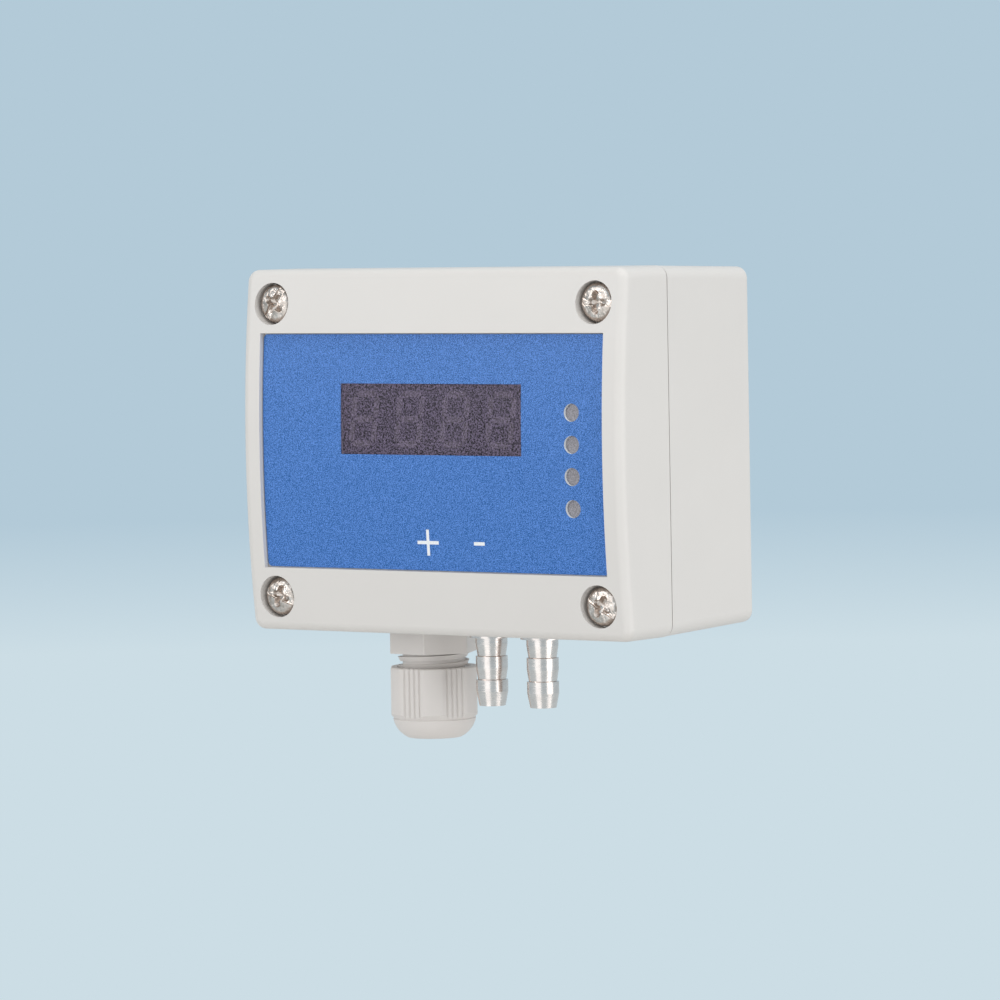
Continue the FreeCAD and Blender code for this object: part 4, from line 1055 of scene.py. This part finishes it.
class CONTROLLER_OT_gland_thread(Operator):
    """Run the thread's ridge round the neck of the gland"""
    bl_idname = "controller.gland_thread"
    bl_label = "Gland thread"

    def execute(self, context):
        gland = context.scene.controller.gland
        sizes = dict.fromkeys(("Turns", "Length", "Radius", "Height", "Foot", "Crest"), "Float")
        tree = Tree("Thread ridge", **sizes, Place="Vector")
        inputs = tree.inputs
        helix = tree.add(
            "GeometryNodeCurveSpiral",
            Resolution=72,
            Rotations=inputs["Turns"],
            Start_Radius=inputs["Radius"],
            End_Radius=inputs["Radius"],
            Height=inputs["Length"],
            Reverse=True,
        )
        upright = tree.add("GeometryNodeSetCurveNormal", {"mode": "Z_UP"}, Curve=helix.outputs[0])
        section = tree.add(
            "GeometryNodeCurvePrimitiveQuadrilateral",
            {"mode": "TRAPEZOID"},
            Height=inputs["Height"],
            Bottom_Width=inputs["Foot"],
            Top_Width=inputs["Crest"],
            Offset=0.0,
        )
        ridge = tree.add(
            "GeometryNodeCurveToMesh",
            Curve=upright.outputs[0],
            Profile_Curve=section.outputs[0],
            Fill_Caps=True,
        )
        placed = tree.add("GeometryNodeTransform", Geometry=ridge.outputs[0], Translation=inputs["Place"])
        tree.finish(placed.outputs[0])
        axis = (NUT_LOW + NUT_HIGH) / 2
        height = gland.thread_crest - gland.thread_root
        foot_share = 0.8
        crest_share = 0.25
        piece = add_piece("gland_thread", bpy.data.meshes.new("gland_thread"))
        tree.run(
            piece,
            Turns=gland.thread_length / gland.thread_pitch,
            Length=gland.thread_length,
            Radius=gland.thread_root + height / 2,
            Height=height,
            Foot=gland.thread_pitch * foot_share,
            Crest=gland.thread_pitch * crest_share,
            Place=(axis.x, axis.y, gland.thread_top - gland.thread_length),
            Material=slot_finish("gland_plastic"),
        )
        close_up(piece.data, sharp_degrees=40)
        install(piece, "housing", "gland_plastic")
        return {"FINISHED"}


class CONTROLLER_OT_stage(Operator):
    """Set up the camera, lamps, floor and background"""
    bl_idname = "controller.stage"
    bl_label = "Stage"

    def execute(self, context):
        stage = context.scene.controller.stage
        context.scene.view_settings.view_transform = "Standard"
        camera = bpy.data.objects.new("camera", bpy.data.cameras.new("camera"))
        context.scene.collection.objects.link(camera)
        camera.data.lens = stage.camera_lens
        camera.data.clip_start = 0.01
        camera.location = stage.camera_place
        camera.rotation_euler = stage.camera_turn
        context.scene.camera = camera
        for name, (place, size) in LAMPS.items():
            self.lamp(context, f"{name}_lamp", place, size, getattr(stage, f"{name}_power"))
        self.background(context, stage)
        self.floor(stage)
        return {"FINISHED"}

    def lamp(self, context, name, place, size, watts):
        light = bpy.data.lights.new(name, "AREA")
        light.shape = "RECTANGLE"
        light.size, light.size_y = size
        light.energy = watts
        lamp = bpy.data.objects.new(name, light)
        context.scene.collection.objects.link(lamp)
        lamp.location = place
        lamp.rotation_euler = (-Vector(place)).to_track_quat("-Z", "Y").to_euler()
        lamp.visible_camera = False

    def seen_rays(self, tree):
        """One where a ray shows the stage itself: from the camera, off gloss or through glass."""
        path = add_node(tree, "ShaderNodeLightPath")
        seen = path.outputs["Is Camera Ray"]
        for other in ("Is Glossy Ray", "Is Transmission Ray"):
            either = add_node(tree, "ShaderNodeMath", {"operation": "MAXIMUM"}, seen, path.outputs[other])
            seen = either.outputs[0]
        return seen

    def background(self, context, stage):
        world = bpy.data.worlds.new("studio")
        world.use_nodes = True
        context.scene.world = world
        tree = world.node_tree
        fill = tree.nodes["Background"]
        fill.inputs["Strength"].default_value = stage.fill
        fill.inputs["Color"].default_value = (*stage.fill_colour, 1)
        direction = add_node(tree, "ShaderNodeTexCoord").outputs["Generated"]
        split = add_node(tree, "ShaderNodeSeparateXYZ", {}, direction)
        rise = add_node(
            tree,
            "ShaderNodeMapRange",
            Value=split.outputs["Z"],
            From_Min=BACKGROUND_FROM,
            From_Max=BACKGROUND_TO,
        )
        low, high = (*stage.background_low, 1), (*stage.background_high, 1)
        shade = mixed_colour(tree, rise.outputs["Result"], low, high)
        backdrop = add_node(tree, "ShaderNodeBackground", Color=shade)
        shaders = fill.outputs[0], backdrop.outputs[0]
        mix = add_node(tree, "ShaderNodeMixShader", {}, self.seen_rays(tree), *shaders)
        tree.links.new(mix.outputs[0], tree.nodes["World Output"].inputs["Surface"])

    def floor(self, stage):
        """A round floor that fades into the background towards its rim."""
        shape = bmesh.new()
        bmesh.ops.create_circle(shape, cap_ends=True, segments=96, radius=stage.floor_radius)
        mesh = mesh_from("floor", shape)
        mesh.transform(Matrix.Translation((0, 0, stage.floor_z)))
        material = bpy.data.materials.new("Pale floor")
        material.use_nodes = True
        tree = material.node_tree
        surface = tree.nodes["Principled BSDF"]
        surface.inputs["Base Color"].default_value = (*stage.floor_colour, 1)
        surface.inputs["Roughness"].default_value = 0.8
        place = add_node(tree, "ShaderNodeTexCoord").outputs["Object"]
        share = 1 / stage.floor_radius
        mapping = add_node(tree, "ShaderNodeMapping", Vector=place, Scale=(share, share, 0))
        distance = add_node(tree, "ShaderNodeVectorMath", {"operation": "LENGTH"}, mapping.outputs[0])
        fade = add_node(
            tree,
            "ShaderNodeMapRange",
            {"interpolation_type": "SMOOTHSTEP"},
            Value=distance.outputs["Value"],
            From_Min=FADE_FROM,
            From_Max=FADE_TO,
        )
        clear = add_node(tree, "ShaderNodeBsdfTransparent")
        shaders = surface.outputs[0], clear.outputs[0]
        mix = add_node(tree, "ShaderNodeMixShader", {}, fade.outputs["Result"], *shaders)
        tree.links.new(mix.outputs[0], tree.nodes["Material Output"].inputs["Surface"])
        add_piece("floor", mesh, material)


class CONTROLLER_PT_panel(Panel):
    """Steps that dress the controller"""
    bl_label = "Pressure controller"
    bl_idname = "CONTROLLER_PT_panel"
    bl_space_type = "VIEW_3D"
    bl_region_type = "UI"
    bl_category = "Controller"

    def draw(self, context):
        for step in STEPS:
            self.layout.operator(step.bl_idname)


SETTINGS = (
    ShellSettings,
    LabelSettings,
    DisplaySettings,
    ScrewSettings,
    GlandSettings,
    StageSettings,
    ControllerSettings,
)
STEPS = (
    CONTROLLER_OT_stage,
    CONTROLLER_OT_finishes,
    CONTROLLER_OT_label,
    CONTROLLER_OT_display,
    CONTROLLER_OT_screws,
    CONTROLLER_OT_gland_nut,
    CONTROLLER_OT_gland_thread,
)


def register():
    for kind in (*SETTINGS, *STEPS, CONTROLLER_PT_panel):
        bpy.utils.register_class(kind)
    bpy.types.Scene.controller = PointerProperty(type=ControllerSettings)


def unregister():
    del bpy.types.Scene.controller
    for kind in reversed((*SETTINGS, *STEPS, CONTROLLER_PT_panel)):
        bpy.utils.unregister_class(kind)


def main():
    register()
    bpy.ops.controller.stage()
    bpy.ops.controller.finishes()
    bpy.ops.controller.label()
    bpy.ops.controller.display()
    bpy.ops.controller.screws()
    bpy.ops.controller.gland_nut()
    bpy.ops.controller.gland_thread()


if __name__ == "__main__":
    main()
